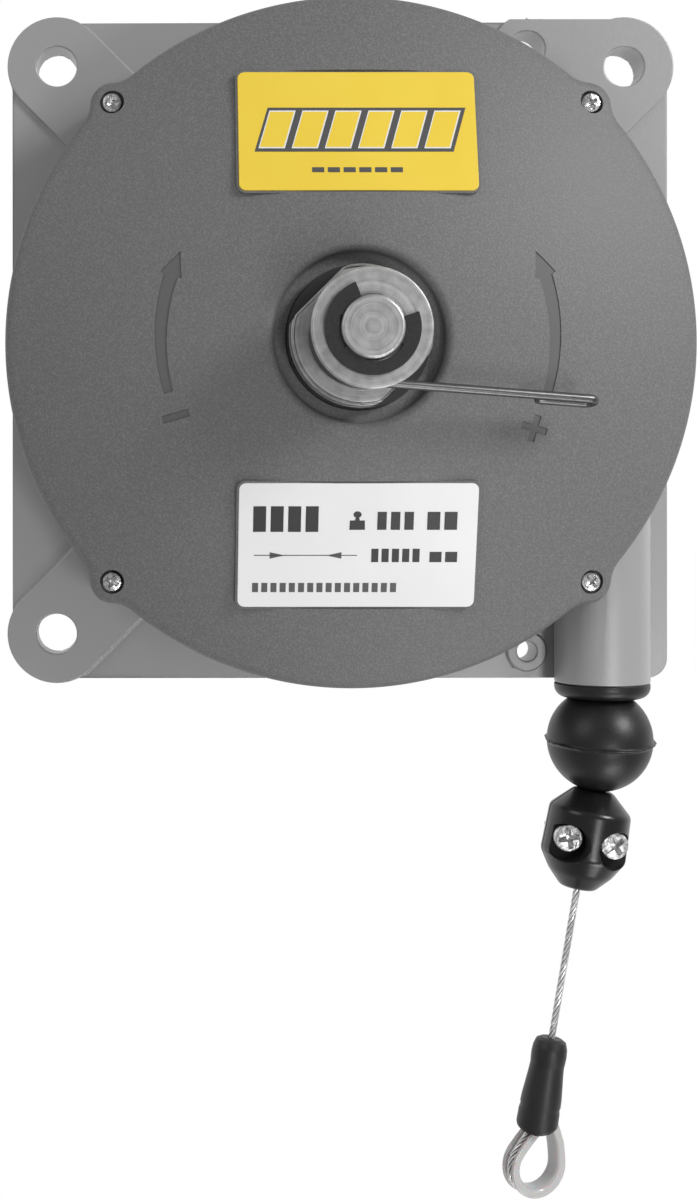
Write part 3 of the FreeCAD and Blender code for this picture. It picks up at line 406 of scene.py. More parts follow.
def cover_shell():
    """The cover as a profile carried round the hub axis. The profile starts in the bore, crosses the hub
    groove, follows the dome to the edge, rounds it by EDGE_R and comes back inside. On the dome each radius
    is a share of the way from the groove to the outline, less EDGE_R."""
    angle = np.linspace(0, 2 * math.pi, 960, endpoint=False)
    edge = cover_edge(angle)
    groove = [(BORE_R, NECK_BACK), (BORE_R, GROOVE_FLOOR - 0.3), (BORE_R + 0.3, GROOVE_FLOOR)]
    wall = GROOVE_WALL_R
    groove += [(GROOVE_R - wall * (1 - math.sin(a)), GROOVE_FLOOR + wall * (1 - math.cos(a)))
               for a in np.linspace(0, math.pi / 2, 7)[1:]]
    dome_start = GROOVE_R + GROOVE_LIP
    lip = CROWN - fall(dome_start)
    groove += [(GROOVE_R + GROOVE_LIP * (1 - math.cos(a)), lip - GROOVE_LIP * (1 - math.sin(a)))
               for a in np.linspace(0, math.pi / 2, 9)]
    rows = [(np.full_like(angle, r), np.full_like(angle, d)) for r, d in groove]
    for share in np.linspace(0, 1, 60)[1:]:
        radius = dome_start + share * (edge - EDGE_R - dome_start)
        rows.append((radius, CROWN - fall(radius)))
    for a in np.linspace(math.atan(COVER_R / DOME_R), math.pi / 2, 8)[1:]:
        out, back = EDGE_R * math.sin(a), EDGE_R * (1 - math.cos(a))
        rows.append((edge - EDGE_R + out, CROWN - fall(edge - EDGE_R) - back - 0.1 * out))
    for depth in (36.0, PARTING + 0.5):
        rows.append((edge, np.full_like(angle, depth)))
    rows.append((edge - 0.5, np.full_like(angle, PARTING)))
    rows.append((np.minimum(edge - 1.0, COVER_R - RIM_WALL), np.full_like(angle, PARTING)))
    inner = np.full_like(angle, COVER_R - RIM_WALL)
    under = CROWN - COVER_WALL - fall(COVER_R - RIM_WALL)
    rows.append((inner, np.full_like(angle, under)))
    for share in np.linspace(0, 1, 12)[1:]:
        radius = inner + share * (NECK_R - inner)
        rows.append((radius, CROWN - COVER_WALL - fall(radius)))
    rows.append((np.full_like(angle, NECK_R), np.full_like(angle, NECK_BACK)))
    points = np.array([[r * np.cos(angle), -d, r * np.sin(angle)] for r, d in rows])
    return surface("cover_shell", points.transpose(0, 2, 1), closed_rows=True, closed_columns=True)


def sunk_arrow(name, start, end):
    """A cutter that follows the dome: a strip along the arc of ARROW_R, from a start to an end angle in
    degrees. Its half width swells evenly in the shaft, the first 0.82 of it, and narrows like a wedge."""
    gone = np.linspace(0, 1, 120)
    angle = np.radians(start + (end - start) * gone)
    half = np.where(gone < 0.82, 1.35 + 0.85 * gone, np.maximum(3.3 * (1 - gone) / 0.18, 0.02))
    rows = []
    for side, lift in ((-1, -SIGN_DEPTH), (1, -SIGN_DEPTH), (1, 1.0), (-1, 1.0)):
        radius = ARROW_R + side * half
        level = CROWN - fall(radius) + lift
        rows.append(np.stack((radius * np.cos(angle), -level, radius * np.sin(angle)), -1))
    body = np.array(rows).transpose(1, 0, 2)
    caps = body.mean(1, keepdims=True).repeat(4, 1)
    body = np.concatenate((caps[:1], body, caps[-1:]))
    return surface(name, body, closed_columns=True)


def sunk_sign(name, x, z, outline, turn):
    """A cutter for a sign at a place: its outline turned about its middle, with every point at the dome's
    level."""
    along, up = np.array((math.cos(turn), math.sin(turn))), np.array((-math.sin(turn), math.cos(turn)))
    ring = np.array([u * along + v * up for u, v in outline]) + (x, z)
    level = CROWN - fall(np.hypot(ring[:, 0], ring[:, 1]))
    body = np.array([np.stack((ring[:, 0], -(level + lift), ring[:, 1]), -1) for lift in (-SIGN_DEPTH, 1.0)])
    middle = body.mean(1, keepdims=True).repeat(len(ring), 1)
    return surface(name, np.concatenate((middle[:1], body, middle[1:])), closed_columns=True)


cover_paint = Finish("cover_textured_paint")
speckle = cover_paint.noise(0.55, 2.0, roughness=0.6)
blotch = cover_paint.noise(70.0, 2.0)
fleck = speckle.between(0.42, 0.66)
cover_paint.set(
    base_color=cover_paint.mix(fleck, cover_paint.mix(blotch, grey(97), grey(104)), grey(116)),
    roughness=0.46 + 0.2 * speckle,
    normal=cover_paint.bump(speckle, 0.12, 0.8))
# The sunk signs are painted a darker grey than the cover: painted shade in their shallow recesses.
sunk_sign_shade = plain("sunk_sign_paint", 0.6, grey(88), grey(97), 0.6)

ARROW_R = 55.3
SIGN_DEPTH = 0.28
minus = [(-3.8, -1.1), (3.8, -1.1), (3.8, 1.1), (-3.8, 1.1)]
plus = [(-3.8, -1.0), (-1.0, -1.0), (-1.0, -3.8), (1.0, -3.8), (1.0, -1.0), (3.8, -1.0),
        (3.8, 1.0), (1.0, 1.0), (1.0, 3.8), (-1.0, 3.8), (-1.0, 1.0), (-3.8, 1.0)]
signs = [sunk_arrow("arrow_left", 196.2, 154.0), sunk_arrow("arrow_right", -16.2, 26.0),
         sunk_sign("minus", -51.0, -22.0, minus, 0.28), sunk_sign("plus", 49.4, -25.4, plus, -0.28)]
COLUMN = EAR_PITCH_R / math.sqrt(2)
EAR_FLOOR = CROWN - fall(EAR_PITCH_R) - 3.0
corners = [(COLUMN, COLUMN), (-COLUMN, COLUMN), (-COLUMN, -COLUMN), (COLUMN, -COLUMN)]
wells = [plug("well", 3.5, EAR_FLOOR, CROWN, x, z) for x, z in corners]
LABEL_AWAY = 58.6  # from the hub axis to a label's middle
LABEL_LEAN = math.asin(LABEL_AWAY / DOME_R)
LABEL_T = 0.4
LAND_DROP = 1.5


def on_dome(x, z, lift, side):
    """Points of a plane that touches the dome above (side 1) or below (side -1) the hub, or is lifted off
    it. The plane is the crown's tangent plane, turned about X through the dome's centre."""
    y = -(DOME_R + lift)
    lean = -side * LABEL_LEAN
    turned_y = y * math.cos(lean) - z * math.sin(lean)
    turned_z = y * math.sin(lean) + z * math.cos(lean)
    return np.stack((x, turned_y + DOME_R - CROWN, turned_z), -1)


def round_corners(width, height, corner, steps=8):
    """The outline of a rectangle with quarter-circle corners."""
    turn = np.radians(np.linspace(0, 90, steps))
    quarters = []
    for i, (sx, sz) in enumerate(((1, 1), (-1, 1), (-1, -1), (1, -1))):
        a = turn + math.pi / 2 * i
        quarters.append(np.stack((sx * (width / 2 - corner) + corner * np.cos(a),
                                  sz * (height / 2 - corner) + corner * np.sin(a)), -1))
    return np.concatenate(quarters)


def flat_slab(name, outline, back, front, side, edge=0.0):
    """A slab on a label's plane, from an outline of x and z, with its front edge drawn in a little."""
    outline = np.asarray(outline, float)
    middle = outline.mean(0)
    inset = middle + (outline - middle) * (1 - edge / np.abs(outline - middle).max())
    rows = [(middle + 0 * outline, back), (outline, back), (outline, front - edge), (inset, front),
            (middle + 0 * outline, front)]
    points = [on_dome(ring[:, 0], ring[:, 1], lift, side) for ring, lift in rows]
    return surface(name, np.array(points), closed_columns=True)


shell = cover_shell()
shell.materials.append(cover_paint.material)
land_outline = round_corners(68.2, 37.2, 2.6)
for name, back, front, operation in (("pocket", -LAND_DROP, 4.0, "DIFFERENCE"),
                                     ("land", -6.0, -LAND_DROP + 0.01, "UNION")):
    slabs = [flat_slab(name, land_outline, back, front, side) for side in (1, -1)]
    shell = carved(shell, slabs, cover_paint, operation)
shell = carved(shell, wells, cover_paint)
shell = carved(shell, signs, sunk_sign_shade)
smooth(shell, 40)
cover = bpy.data.objects.new("cover_shell", shell)
bpy.context.scene.collection.objects.link(cover)
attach(cover, "housing")
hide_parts("front_cover")


# ---------------------------------------------------------------- cover screws
# Four pan-head screws with cross recesses, zinc plated, sit in the wells of the ears.

zinc = Finish("zinc_plate", metallic=1.0)
zinc_cloud = zinc.noise(0.9, 3.0)
zinc.set(base_color=zinc.mix(zinc_cloud.between(0.35, 0.65), grey(240), grey(180)),
         roughness=0.18 + 0.3 * zinc_cloud, normal=zinc.bump(zinc_cloud, 0.16))


def screw_head(centre, across, up, radius, height, turn):
    """A pan head on a grid of radius and angle that faces the front. Its height is height * (1 - 0.175 *
    (r / radius) ** 2) with a rounded rim, less a cross: the depth falls from the middle to the end of each
    of four arms."""
    share = np.concatenate((np.linspace(0, 0.93, 26), np.array([0.965, 0.985, 1.0, 1.0, 1.0])))
    drop = np.concatenate((np.zeros(26), np.array([0.05, 0.14, 0.3, 0.6, 1.0])))
    angle = np.linspace(0, 2 * math.pi, 96, endpoint=False)
    r, a = np.meshgrid(share * radius, angle, indexing="ij")
    x, y = r * np.cos(a), r * np.sin(a)
    level = height * (1 - 0.175 * (r / radius) ** 2) * (1 - drop[:, None])
    arm = np.minimum(np.abs(x), np.abs(y))
    reach = np.maximum(np.abs(x), np.abs(y))
    width = 0.15 * radius
    depth = 0.72 * height * np.clip(1.15 - reach / (0.62 * radius), 0, 1) ** 0.5
    inside = np.clip((width - arm) / (0.06 * radius) + 0.5, 0, 1)
    level = np.where(drop[:, None] > 0, level, level - depth * inside)
    u = math.cos(turn) * across + math.sin(turn) * up
    v = -math.sin(turn) * across + math.cos(turn) * up
    points = centre + x[..., None] * u + y[..., None] * v + level[..., None] * FRONT
    return surface("head", np.concatenate((points, np.broadcast_to(centre, (1, 96, 3)))), closed_columns=True)


def together(name, meshes):
    """One mesh from several."""
    joined = bmesh.new()
    for mesh in meshes:
        joined.from_mesh(mesh)
    whole = bpy.data.meshes.new(name)
    joined.to_mesh(whole)
    joined.free()
    smooth(whole)
    return whole


RIGHT, UP, FRONT = np.eye(3)[0], np.eye(3)[2], -np.eye(3)[1]
heads = [screw_head(np.array([x, -EAR_FLOOR, z]), RIGHT, UP, 2.8, 2.2, turn)
         for (x, z), turn in zip(corners, (0.5, 0.2, 1.1, 0.8))]
piece(together("ear_screws", heads), zinc, "housing", "zinc_steel", "cover_screws")


# ---------------------------------------------------------------- label plates
# Two thin plates with round corners lie in shallow pockets of the dome: a yellow one above the hub and
# a white one below. Their print is generic: slanted bars, a weight, a travel line and plain blocks.

def bars(x, z, count, pitch, width, height, slant=0.0):
    """A row of bars to print, leaning right by the slant. The first has its lower left corner at x, z."""
    return [[(u, z), (u + width, z), (u + width + slant, z + height), (u + slant, z + height)]
            for u in x + pitch * np.arange(count)]


def printed(name, shapes, side, lift, finish, slot):
    """Shapes printed on a label: thin slabs a little proud of it."""
    meshes = [flat_slab("shape", shape, lift - 0.06, lift, side) for shape in shapes]
    piece(together(name, meshes), finish, "housing", slot)


def lacquered(name, first, second):
    """The ground of a label: an even colour under clear lacquer with a faint skin."""
    made = Finish(name, coat_weight=0.3, coat_roughness=0.25)
    skin = made.noise(0.4)
    made.set(base_color=made.mix(made.noise(18.0), first, second), roughness=0.34 + 0.1 * skin,
             normal=made.bump(skin, 0.01))
    return made


yellow = lacquered("label_yellow", colour(232, 198, 52), colour(238, 208, 72))
white = lacquered("label_white", grey(224), grey(233))
black_ink = plain("black_ink", 0.5, grey(34), grey(44), 0.4)
grey_ink = plain("grey_ink", 0.5, grey(74), grey(86), 0.4)
pale_ink = plain("pale_ink", 0.5, grey(224), grey(234), 0.3)

for side, finish, slot, node in ((1, yellow, "label_yellow", "upper_label_plate"),
                                 (-1, white, "label_white", "lower_label_plate")):
    outline = round_corners(67.0, 36.0, 2.0)
    plate = flat_slab(slot + "_plate", outline, -LAND_DROP, LABEL_T - LAND_DROP, side, 0.12)
    piece(plate, finish, "housing", slot, node)

TOP = LABEL_T - LAND_DROP + 0.05
printed("upper_bars_frame", bars(-29.0, -6.4, 6, 9.3, 9.3, 13.4, 3.9), 1, TOP, grey_ink, "label_yellow")
printed("upper_bars_rims", bars(-27.9, -5.4, 6, 9.3, 7.4, 11.5, 3.3), 1, TOP + 0.03, pale_ink, "label_yellow")
printed("upper_bars", bars(-27.5, -5.0, 6, 9.3, 6.7, 10.7, 3.1), 1, TOP + 0.06, yellow, "label_yellow")
printed("upper_rule", bars(-13.0, -12.6, 6, 4.4, 3.4, 1.5), 1, TOP, grey_ink, "label_yellow")

weight = [[(-2.4, 4.6), (2.0, 4.6), (1.9, 7.3), (-2.3, 7.3)],
          [(-0.9, 7.3), (0.5, 7.3), (0.2, 8.3), (-0.6, 8.3)],
          [(-0.2 + 1.15 * math.cos(a), 9.0 + 0.95 * math.sin(a))
           for a in np.linspace(0, 2 * math.pi, 19, endpoint=False)]]
travel = bars(-29.0, -2.95, 1, 0, 29.0, 0.25) + [[(-24.6, -3.8), (-20.4, -2.85), (-24.6, -1.9)],
                                                 [(-4.4, -3.8), (-4.4, -1.9), (-8.6, -2.85)]]
blocks = (bars(-29.4, 4.0, 4, 4.9, 3.6, 7.4) + bars(5.4, 4.6, 3, 3.8, 2.6, 5.2)
          + bars(19.4, 4.6, 2, 4.8, 3.6, 5.2) + bars(4.0, -4.8, 5, 2.9, 2.0, 3.9)
          + bars(20.4, -4.8, 2, 4.4, 3.4, 3.0))
printed("weight_sign", weight, -1, TOP, black_ink, "label_white")
printed("travel_line", travel, -1, TOP, grey_ink, "label_white")
printed("plain_blocks", blocks, -1, TOP, black_ink, "label_white")
printed("plain_notes", bars(-29.4, -13.6, 16, 2.6, 1.7, 2.7), -1, TOP, grey_ink, "label_white")


# ---------------------------------------------------------------- clutch: collar, wrap spring, washer, clip
# The wrap spring is wound from bright spring wire round the arbor's neck and the fixed collar; its long
# tail, folded back at the tip, is the lever. A washer and a dark E-clip hold the stack on the axle.

softened("clutch_collar", "collar", 0.2, turned_steel, "housing", "turned_steel")
softened("front_washer", "washer", 0.6, brushed("washer_steel", 214, 0.36), "housing", "turned_steel")
black_steel = Finish("blackened_steel", metallic=0.55)
oxide = black_steel.noise(0.8, 3.0)
black_steel.set(base_color=black_steel.mix(oxide, grey(48), grey(64)), roughness=0.34 + 0.2 * oxide,
                normal=black_steel.bump(oxide, 0.02))
softened("e_clip", "clip", 0.15, black_steel, "housing", "black_steel")

WIRE_R = 1.25
COIL_R = 13.8
COIL_BACK = 65.169
COIL_PITCH = 2.6
COIL_TURNS = 4.25
LEVER_REACH = np.array([63.9, 10.0, -4.2])
GRIP_R = 2.1
GRIP_RETURN = 13.0


def wire_line():
    """The wire's centreline: a helix of COIL_TURNS turns about the hub axis that ends below it, then a
    straight tail along LEVER_REACH, a half circle of GRIP_R back and down and a straight return."""
    turn = np.linspace(-COIL_TURNS, 0, 340)[:, None] * 2 * math.pi
    depth = COIL_BACK + COIL_PITCH * (COIL_TURNS + turn / (2 * math.pi))
    coil = np.concatenate((COIL_R * np.sin(turn), -depth, -COIL_R * np.cos(turn)), 1)
    last = coil[-1]
    tip = last + LEVER_REACH
    along = (tip - last) / np.linalg.norm(tip - last)
    behind = np.array([0, 1.0, -0.24])
    behind = behind - along * (along @ behind)
    behind = behind / np.linalg.norm(behind)
    bend = np.linspace(0, math.pi, 24)[:, None]
    fold = tip + along * GRIP_R * (np.sin(bend) - 1) + behind * GRIP_R * (1 - np.cos(bend))
    run = last + (fold[0] - last) * np.linspace(0, 1, 20)[1:-1, None]
    back = fold[-1] - along * np.linspace(0, GRIP_RETURN, 8)[1:, None]
    return np.concatenate((coil, run, fold, back))


def swept(name, line, radius, sides=16):
    """A round section carried along a line, kept square to it. Each section's first direction is the last
    one's, less its part along the line. The ends are rounded by two shrinking sections and a point."""
    ahead = np.gradient(line, axis=0)
    ahead /= np.linalg.norm(ahead, axis=1, keepdims=True)
    first = np.cross(ahead[0], [0.31, 0.17, 0.93])
    firsts = []
    for direction in ahead:
        first = first - direction * (first @ direction)
        first = first / np.linalg.norm(first)
        firsts.append(first)
    firsts = np.array(firsts)
    seconds = np.cross(ahead, firsts)
    past = radius * np.array([1.0, 0.86, 0.5])[:, None]
    small = radius * np.array([0.0, 0.5, 0.86])
    radii = np.concatenate((small, np.full(len(line), float(radius)), small[::-1]))
    line = np.concatenate((line[0] - ahead[0] * past, line, line[-1] + ahead[-1] * past[::-1]))
    firsts, seconds = (np.concatenate((ways[:1].repeat(3, 0), ways, ways[-1:].repeat(3, 0)))
                       for ways in (firsts, seconds))
    angle = np.linspace(0, 2 * math.pi, sides, endpoint=False)
    ring = np.cos(angle)[None, :, None] * firsts[:, None] + np.sin(angle)[None, :, None] * seconds[:, None]
    return surface(name, line[:, None] + ring * radii[:, None, None], closed_columns=True)


spring_wire = metal("spring_wire", 2.0, grey(118), grey(96), 0.3, 0.05)
piece(swept("wrap_spring", wire_line(), WIRE_R), spring_wire, "lever", "spring_wire", "wrap_spring_lever")


# ---------------------------------------------------------------- outlet bush and buffer ball
# A black plastic bush in the nose guides the rope and seats the buffer ball: a hollow rubber ball with
# the flash of its mould as a thin ridge round its middle, a little ragged.

BALL_DEPTH = 19.5
BALL = np.array([77.5, -BALL_DEPTH, -117.3])
BALL_R = 15.5
TILT = math.radians(9.6)
ACROSS = np.array([math.cos(TILT), 0, -math.sin(TILT)])
DOWN = np.array([-math.sin(TILT), 0, -math.cos(TILT)])


def lathe(name, profile, centre, across, front, along, steps=128, wave=None):
    """A closed profile of (radius, distance) carried round an axis: centre + distance * along + radius *
    (cos * across + sin * front). A wave changes radius and distance by the angle."""
    profile = np.asarray(profile, float)
    angle = np.linspace(0, 2 * math.pi, steps, endpoint=False)
    radius = np.broadcast_to(profile[:, :1], (len(profile), steps))
    gone = np.broadcast_to(profile[:, 1:], (len(profile), steps))
    if wave is not None:
        radius, gone = wave(radius, gone, angle[None])
    points = (centre + gone[..., None] * along
              + radius[..., None] * (np.cos(angle)[:, None] * across + np.sin(angle)[:, None] * front))
    return surface(name, points, closed_rows=True, closed_columns=True)


def eased(profile, radius, steps=5, closed=False):
    """A profile with its corners rounded: each corner becomes a quadratic curve between the points that
    lie a radius away from it on its two sides, or 0.45 of a side that is short."""
    profile = [np.array(p, float) for p in profile]
    count = len(profile)
    out = [] if closed else [profile[0]]
    for i in range(0 if closed else 1, count if closed else count - 1):
        before, corner, after = profile[i - 1], profile[i], profile[(i + 1) % count]
        to_before, to_after = before - corner, after - corner
        a = corner + to_before * min(radius / np.linalg.norm(to_before), 0.45)
        b = corner + to_after * min(radius / np.linalg.norm(to_after), 0.45)
        for t in np.linspace(0, 1, steps):
            out.append((1 - t) ** 2 * a + 2 * t * (1 - t) * corner + t ** 2 * b)
    return np.array(out if closed else out + [profile[-1]])


def rubber(name, level, roughness, grain_size=0.5, depth=0.02):
    """Moulded rubber or plastic: near black, with faint mottling and a fine skin."""
    made = Finish(name)
    mottle = made.noise(4.0, 3.0)
    skin = made.noise(grain_size, 2.0)
    made.set(base_color=made.mix(mottle, grey(level - 4), grey(level + 6)),
             roughness=roughness + 0.12 * mottle + 0.06 * skin,
             normal=made.bump(skin, depth))
    return made


black_plastic = rubber("black_plastic", 22, 0.30)
black_rubber = rubber("black_rubber", 21, 0.31, 0.7, 0.03)
NOSE_END = -100.0
BUSH_R = 14.0
BUSH_FOOT = NOSE_END - 4.5
BUSH_BORE_R = 2.6
LIP_R = 3.4
SEAT_R = 16.3
nose, foot = NOSE_END - BALL[2], BUSH_FOOT - BALL[2]
seat = [(SEAT_R * math.cos(a), SEAT_R * math.sin(a))
        for a in np.linspace(math.asin(foot / SEAT_R), math.acos(BUSH_BORE_R / SEAT_R), 12)]
lip = [(BUSH_R - LIP_R * (1 - math.cos(a)), foot + LIP_R * (1 - math.sin(a)))
       for a in np.linspace(0.15, math.pi / 2, 9)]
bush_profile = [(BUSH_BORE_R, nose + 12.0), (8.95, nose + 12.0), (8.95, nose), (BUSH_R - 0.3, nose),
                (BUSH_R, nose - 0.4), (BUSH_R, foot + LIP_R)] + lip + seat
bush = lathe("outlet_bush_moulding", bush_profile, BALL, RIGHT, FRONT, UP)
piece(bush, black_plastic, "housing", "black_plastic", "outlet_bush")


def flash(radius, gone, angle):
    """The mould flash: a ridge round the middle, 0.72 * exp(-(level / 0.42) ** 2) high. It is level from left
    to right while the tail hangs askew, a little lower in front, and its height and level wander."""
    ragged = 0.16 * np.sin(5 * angle + 1) + 0.1 * np.sin(13 * angle) + 0.07 * np.sin(29 * angle + 2)
    wander = 0.2 * np.sin(2 * angle + 0.6) + 0.1 * np.sin(7 * angle)
    level = gone + BALL_R * (math.tan(TILT) * np.cos(angle) - 0.12 * np.sin(angle)) - wander
    ridge = (0.72 + ragged) * np.exp(-(level / 0.42) ** 2)
    return radius + ridge, gone


BALL_BORE_R = 2.0
BALL_FLAT = 15.0
BALL_SHIFT = 0.7
flare_angle = math.acos((BALL_BORE_R + BALL_R * math.tan(math.radians(17))) / BALL_R)
flat_angle = math.asin(BALL_FLAT / BALL_R)
around = np.concatenate((np.linspace(-flat_angle, -0.27, 26), np.linspace(-0.26, 0.26, 66),
                         np.linspace(0.27, flare_angle, 30)))
ball_profile = ([(BALL_BORE_R, 0.0), (BALL_BORE_R, BALL_FLAT)]
                + [(BALL_R * math.cos(a), -BALL_R * math.sin(a)) for a in around])
middle = BALL - BALL_SHIFT * ACROSS
ball = lathe("rubber_ball", ball_profile, middle, ACROSS, FRONT, DOWN, steps=256, wave=flash)
piece(ball, black_rubber, "rope_tail", "black_rubber", "buffer_ball")


# ---------------------------------------------------------------- rope clamp
# Two moulded halves grip the rope under the ball, drawn together by two screws in round pockets with
# nuts behind. The screws are bright zinc with cross recesses.

clamp_plastic = rubber("clamp_plastic", 19, 0.16, 0.4, 0.006)
# The screw pockets are painted near black, darker and rougher than the clamp: painted shade in the recesses.
pocket_plastic = rubber("pocket_plastic", 9, 0.75)
CLAMP_PITCH = 6.8
CLAMP_DROP = 29.6
POCKET_FLOOR = 5.0


def tail(across, front, drop):
    """A point of the hanging tail: across and in front of its axis, and a drop below the ball's centre."""
    return BALL + ACROSS * across + FRONT * front + DOWN * drop


def block(across, front, drop):
    """A box in the tail's directions, between pairs of values."""
    ring = [(across[0], drop[0]), (across[1], drop[0]), (across[1], drop[1]), (across[0], drop[1])]
    rows = np.array([[tail(x, f, d) for x, d in ring] for f in (front[0], *front, front[1])])
    rows[[0, 3]] = rows[[0, 3]].mean(1, keepdims=True)
    return surface("block", rows, closed_columns=True)


barrel = eased([(1.1, 15.0), (5.6, 15.0), (12.0, 21.2), (12.5, 35.0), (9.3, 40.2), (5.0, 44.8), (1.1, 44.8)],
               1.1, 6)
screws = [(side * CLAMP_PITCH, 0, CLAMP_DROP) for side in (-1, 1)]
pocket_floor = BALL_DEPTH + POCKET_FLOOR
pockets = [plug("pocket", 5.7, pocket_floor, pocket_floor + 15.0, *tail(side * 7.2, 0, 31.0)[[0, 2]])
           for side in (-1, 1)]
traps = [plug("trap", 4.2, BALL_DEPTH - 20.0, BALL_DEPTH - 5.0, *tail(*place)[[0, 2]], 6) for place in screws]
for half, far_side, holes in (("front", (-20, 0.2), pockets), ("back", (-0.2, 20), traps)):
    mesh = lathe("clamp_" + half, barrel, BALL, ACROSS, FRONT, DOWN, steps=96)
    mesh.materials.append(clamp_plastic.material)
    mesh = carved(mesh, [block((-20, 20), far_side, (0, 60))], clamp_plastic)
    for hole in holes:
        mesh = carved(mesh, [hole], pocket_plastic)
    softened(f"clamp_{half}_half", "clamp_" + half, 0.3, clamp_plastic, "rope_tail", "black_plastic", 40,
             mesh)
softened("clamp_nuts", "clamp_hexagon_nuts", 0.2, zinc, "rope_tail", "zinc_steel")
heads = [screw_head(tail(*place) + FRONT * POCKET_FLOOR, ACROSS, -DOWN, 4.2, 3.0, turn)
         for place, turn in zip(screws, (0.35, 0.75))]
piece(together("clamp_screw_heads", heads), zinc, "rope_tail", "zinc_steel", "clamp_screws")


# ---------------------------------------------------------------- wire rope
# The rope is 2 mm steel wire rope of six strands, each of seven wires, twisted to the right. It leaves
# the clamp and hangs straight to the ferrule, then loops round the thimble.

ROPE_R = 1.0
ROPE_LAY = 13.0
CLAMP_TIP = 45.0
ROPE_END = 97.0


def line_of(name, controls):
    """The smooth line through a route: the points of its NURBS curve of order 3, in millimetres."""
    curve = bpy.data.curves.new(name, "CURVE")
    curve.dimensions = "3D"
    curve.resolution_u = 24
    spline = curve.splines.new("NURBS")
    spline.points.add(len(controls) - 1)
    spline.points.foreach_set("co", np.insert(np.array(controls) * MM, 3, 1, axis=1).ravel())
    spline.order_u = 3
    spline.use_endpoint_u = True
    made = bpy.data.objects.new(name, curve)
    bpy.context.scene.collection.objects.link(made)
    bpy.context.view_layer.update()
    mesh = bpy.data.meshes.new_from_object(made.evaluated_get(bpy.context.evaluated_depsgraph_get()))
    line = np.zeros(len(mesh.vertices) * 3)
    mesh.vertices.foreach_get("co", line)
    bpy.data.objects.remove(made)
    return line.reshape(-1, 3) / MM


def stranded(name, line, phase=0.0):
    """Six strands wound round a line: each strand's centre is at 0.7 of ROPE_R and turns once in every
    ROPE_LAY, and its section is a circle of 0.36 of ROPE_R, round a core of 0.45. The attribute crown is 0
    in the grooves between the strands and 1 on their backs; the rope's finish uses it to paint shade into the
    grooves."""
    gaps = np.linalg.norm(np.diff(line, axis=0), axis=1)
    gone = np.concatenate(([0], np.cumsum(gaps)))
    even = np.linspace(0, gone[-1], max(int(gone[-1] / 0.3), 8))
    line = np.stack([np.interp(even, gone, line[:, k]) for k in range(3)], -1)
    ahead = np.gradient(line, axis=0)
    ahead /= np.linalg.norm(ahead, axis=1, keepdims=True)
    first = np.cross(ahead, np.array([0, 1, 0]) + 0 * ahead)
    first /= np.linalg.norm(first, axis=1, keepdims=True)
    second = np.cross(ahead, first)
    meshes = [swept("core", line, 0.45 * ROPE_R, 8)]
    for i in range(6):
        turn = (2 * math.pi * (even / ROPE_LAY + i / 6) + phase)[:, None]
        meshes.append(swept("strand", line + 0.7 * ROPE_R * (np.cos(turn) * first + np.sin(turn) * second),
                            0.36 * ROPE_R, 10))
    whole = together(name, meshes)
    places = np.empty(len(whole.vertices) * 3)
    whole.vertices.foreach_get("co", places)
    nearest = KDTree(len(line))
    for i, point in enumerate(line * MM):
        nearest.insert(point, i)
    nearest.balance()
    away = np.array([nearest.find(place)[2] for place in places.reshape(-1, 3)]) / (ROPE_R * MM)
    crown = whole.attributes.new("crown", "FLOAT", "POINT")
    crown.data.foreach_set("value", np.clip((away - 0.72) / 0.24, 0, 1))
    return whole


wire_rope = Finish("wire_rope", metallic=1.0)
LAID = (1.0, 1.0, 0.55)  # draws the grain out along the rope
wires = wire_rope.noise(0.35, 2.0, wire_rope.node("VectorMath", {"operation": "MULTIPLY"},
                                                  {0: wire_rope.place(), 1: LAID}))
# The crown attribute paints the grooves between the strands dark grey (40): painted shade between the
# strands.
crowns = wire_rope.node("Attribute", {"attribute_name": "crown"}, output="Fac")
strand_grey = wire_rope.mix(wires, grey(250), grey(205))
wire_rope.set(base_color=wire_rope.mix(crowns, grey(40), strand_grey), roughness=0.28 + 0.2 * wires,
              normal=wire_rope.bump(wires, 0.03))
route = [tail(0, 0, d) for d in (CLAMP_TIP - 3, CLAMP_TIP + 12, 82, ROPE_END)]
rope_line = line_of("rope_line", route)
rope = piece(stranded("hanging_rope", rope_line), wire_rope, "rope_tail", "rope_steel", "rope_free")


# ---------------------------------------------------------------- ferrule, sleeve, thimble and eye
# The rope's end is closed by a pressed alloy ferrule inside a black rubber sleeve. The loop lies in the
# groove of a translucent nylon thimble that is turned a little about the rope.

YAW = math.radians(21.0)
SIDE = ACROSS * math.cos(YAW) - FRONT * math.sin(YAW)
FACE = FRONT * math.cos(YAW) + ACROSS * math.sin(YAW)
TAPER = math.radians(20.2)
EYE_DROP = 129.7
EYE_R = 6.3
LOOP_R = 8.05
LEAN = math.radians(8.0)
SAG = 1.3
RISE = 0.8


def loop_end(across, front, drop):
    """A point of the rope's end, leaning by LEAN about the eye's centre and turned by YAW about the rope.
    The whole end has moved SAG across and RISE up."""
    below = drop - EYE_DROP
    across, drop = (across * math.cos(LEAN) - below * math.sin(LEAN) + SAG,
                    EYE_DROP - RISE + below * math.cos(LEAN) + across * math.sin(LEAN))
    return BALL + across[..., None] * SIDE + front[..., None] * FACE + drop[..., None] * DOWN


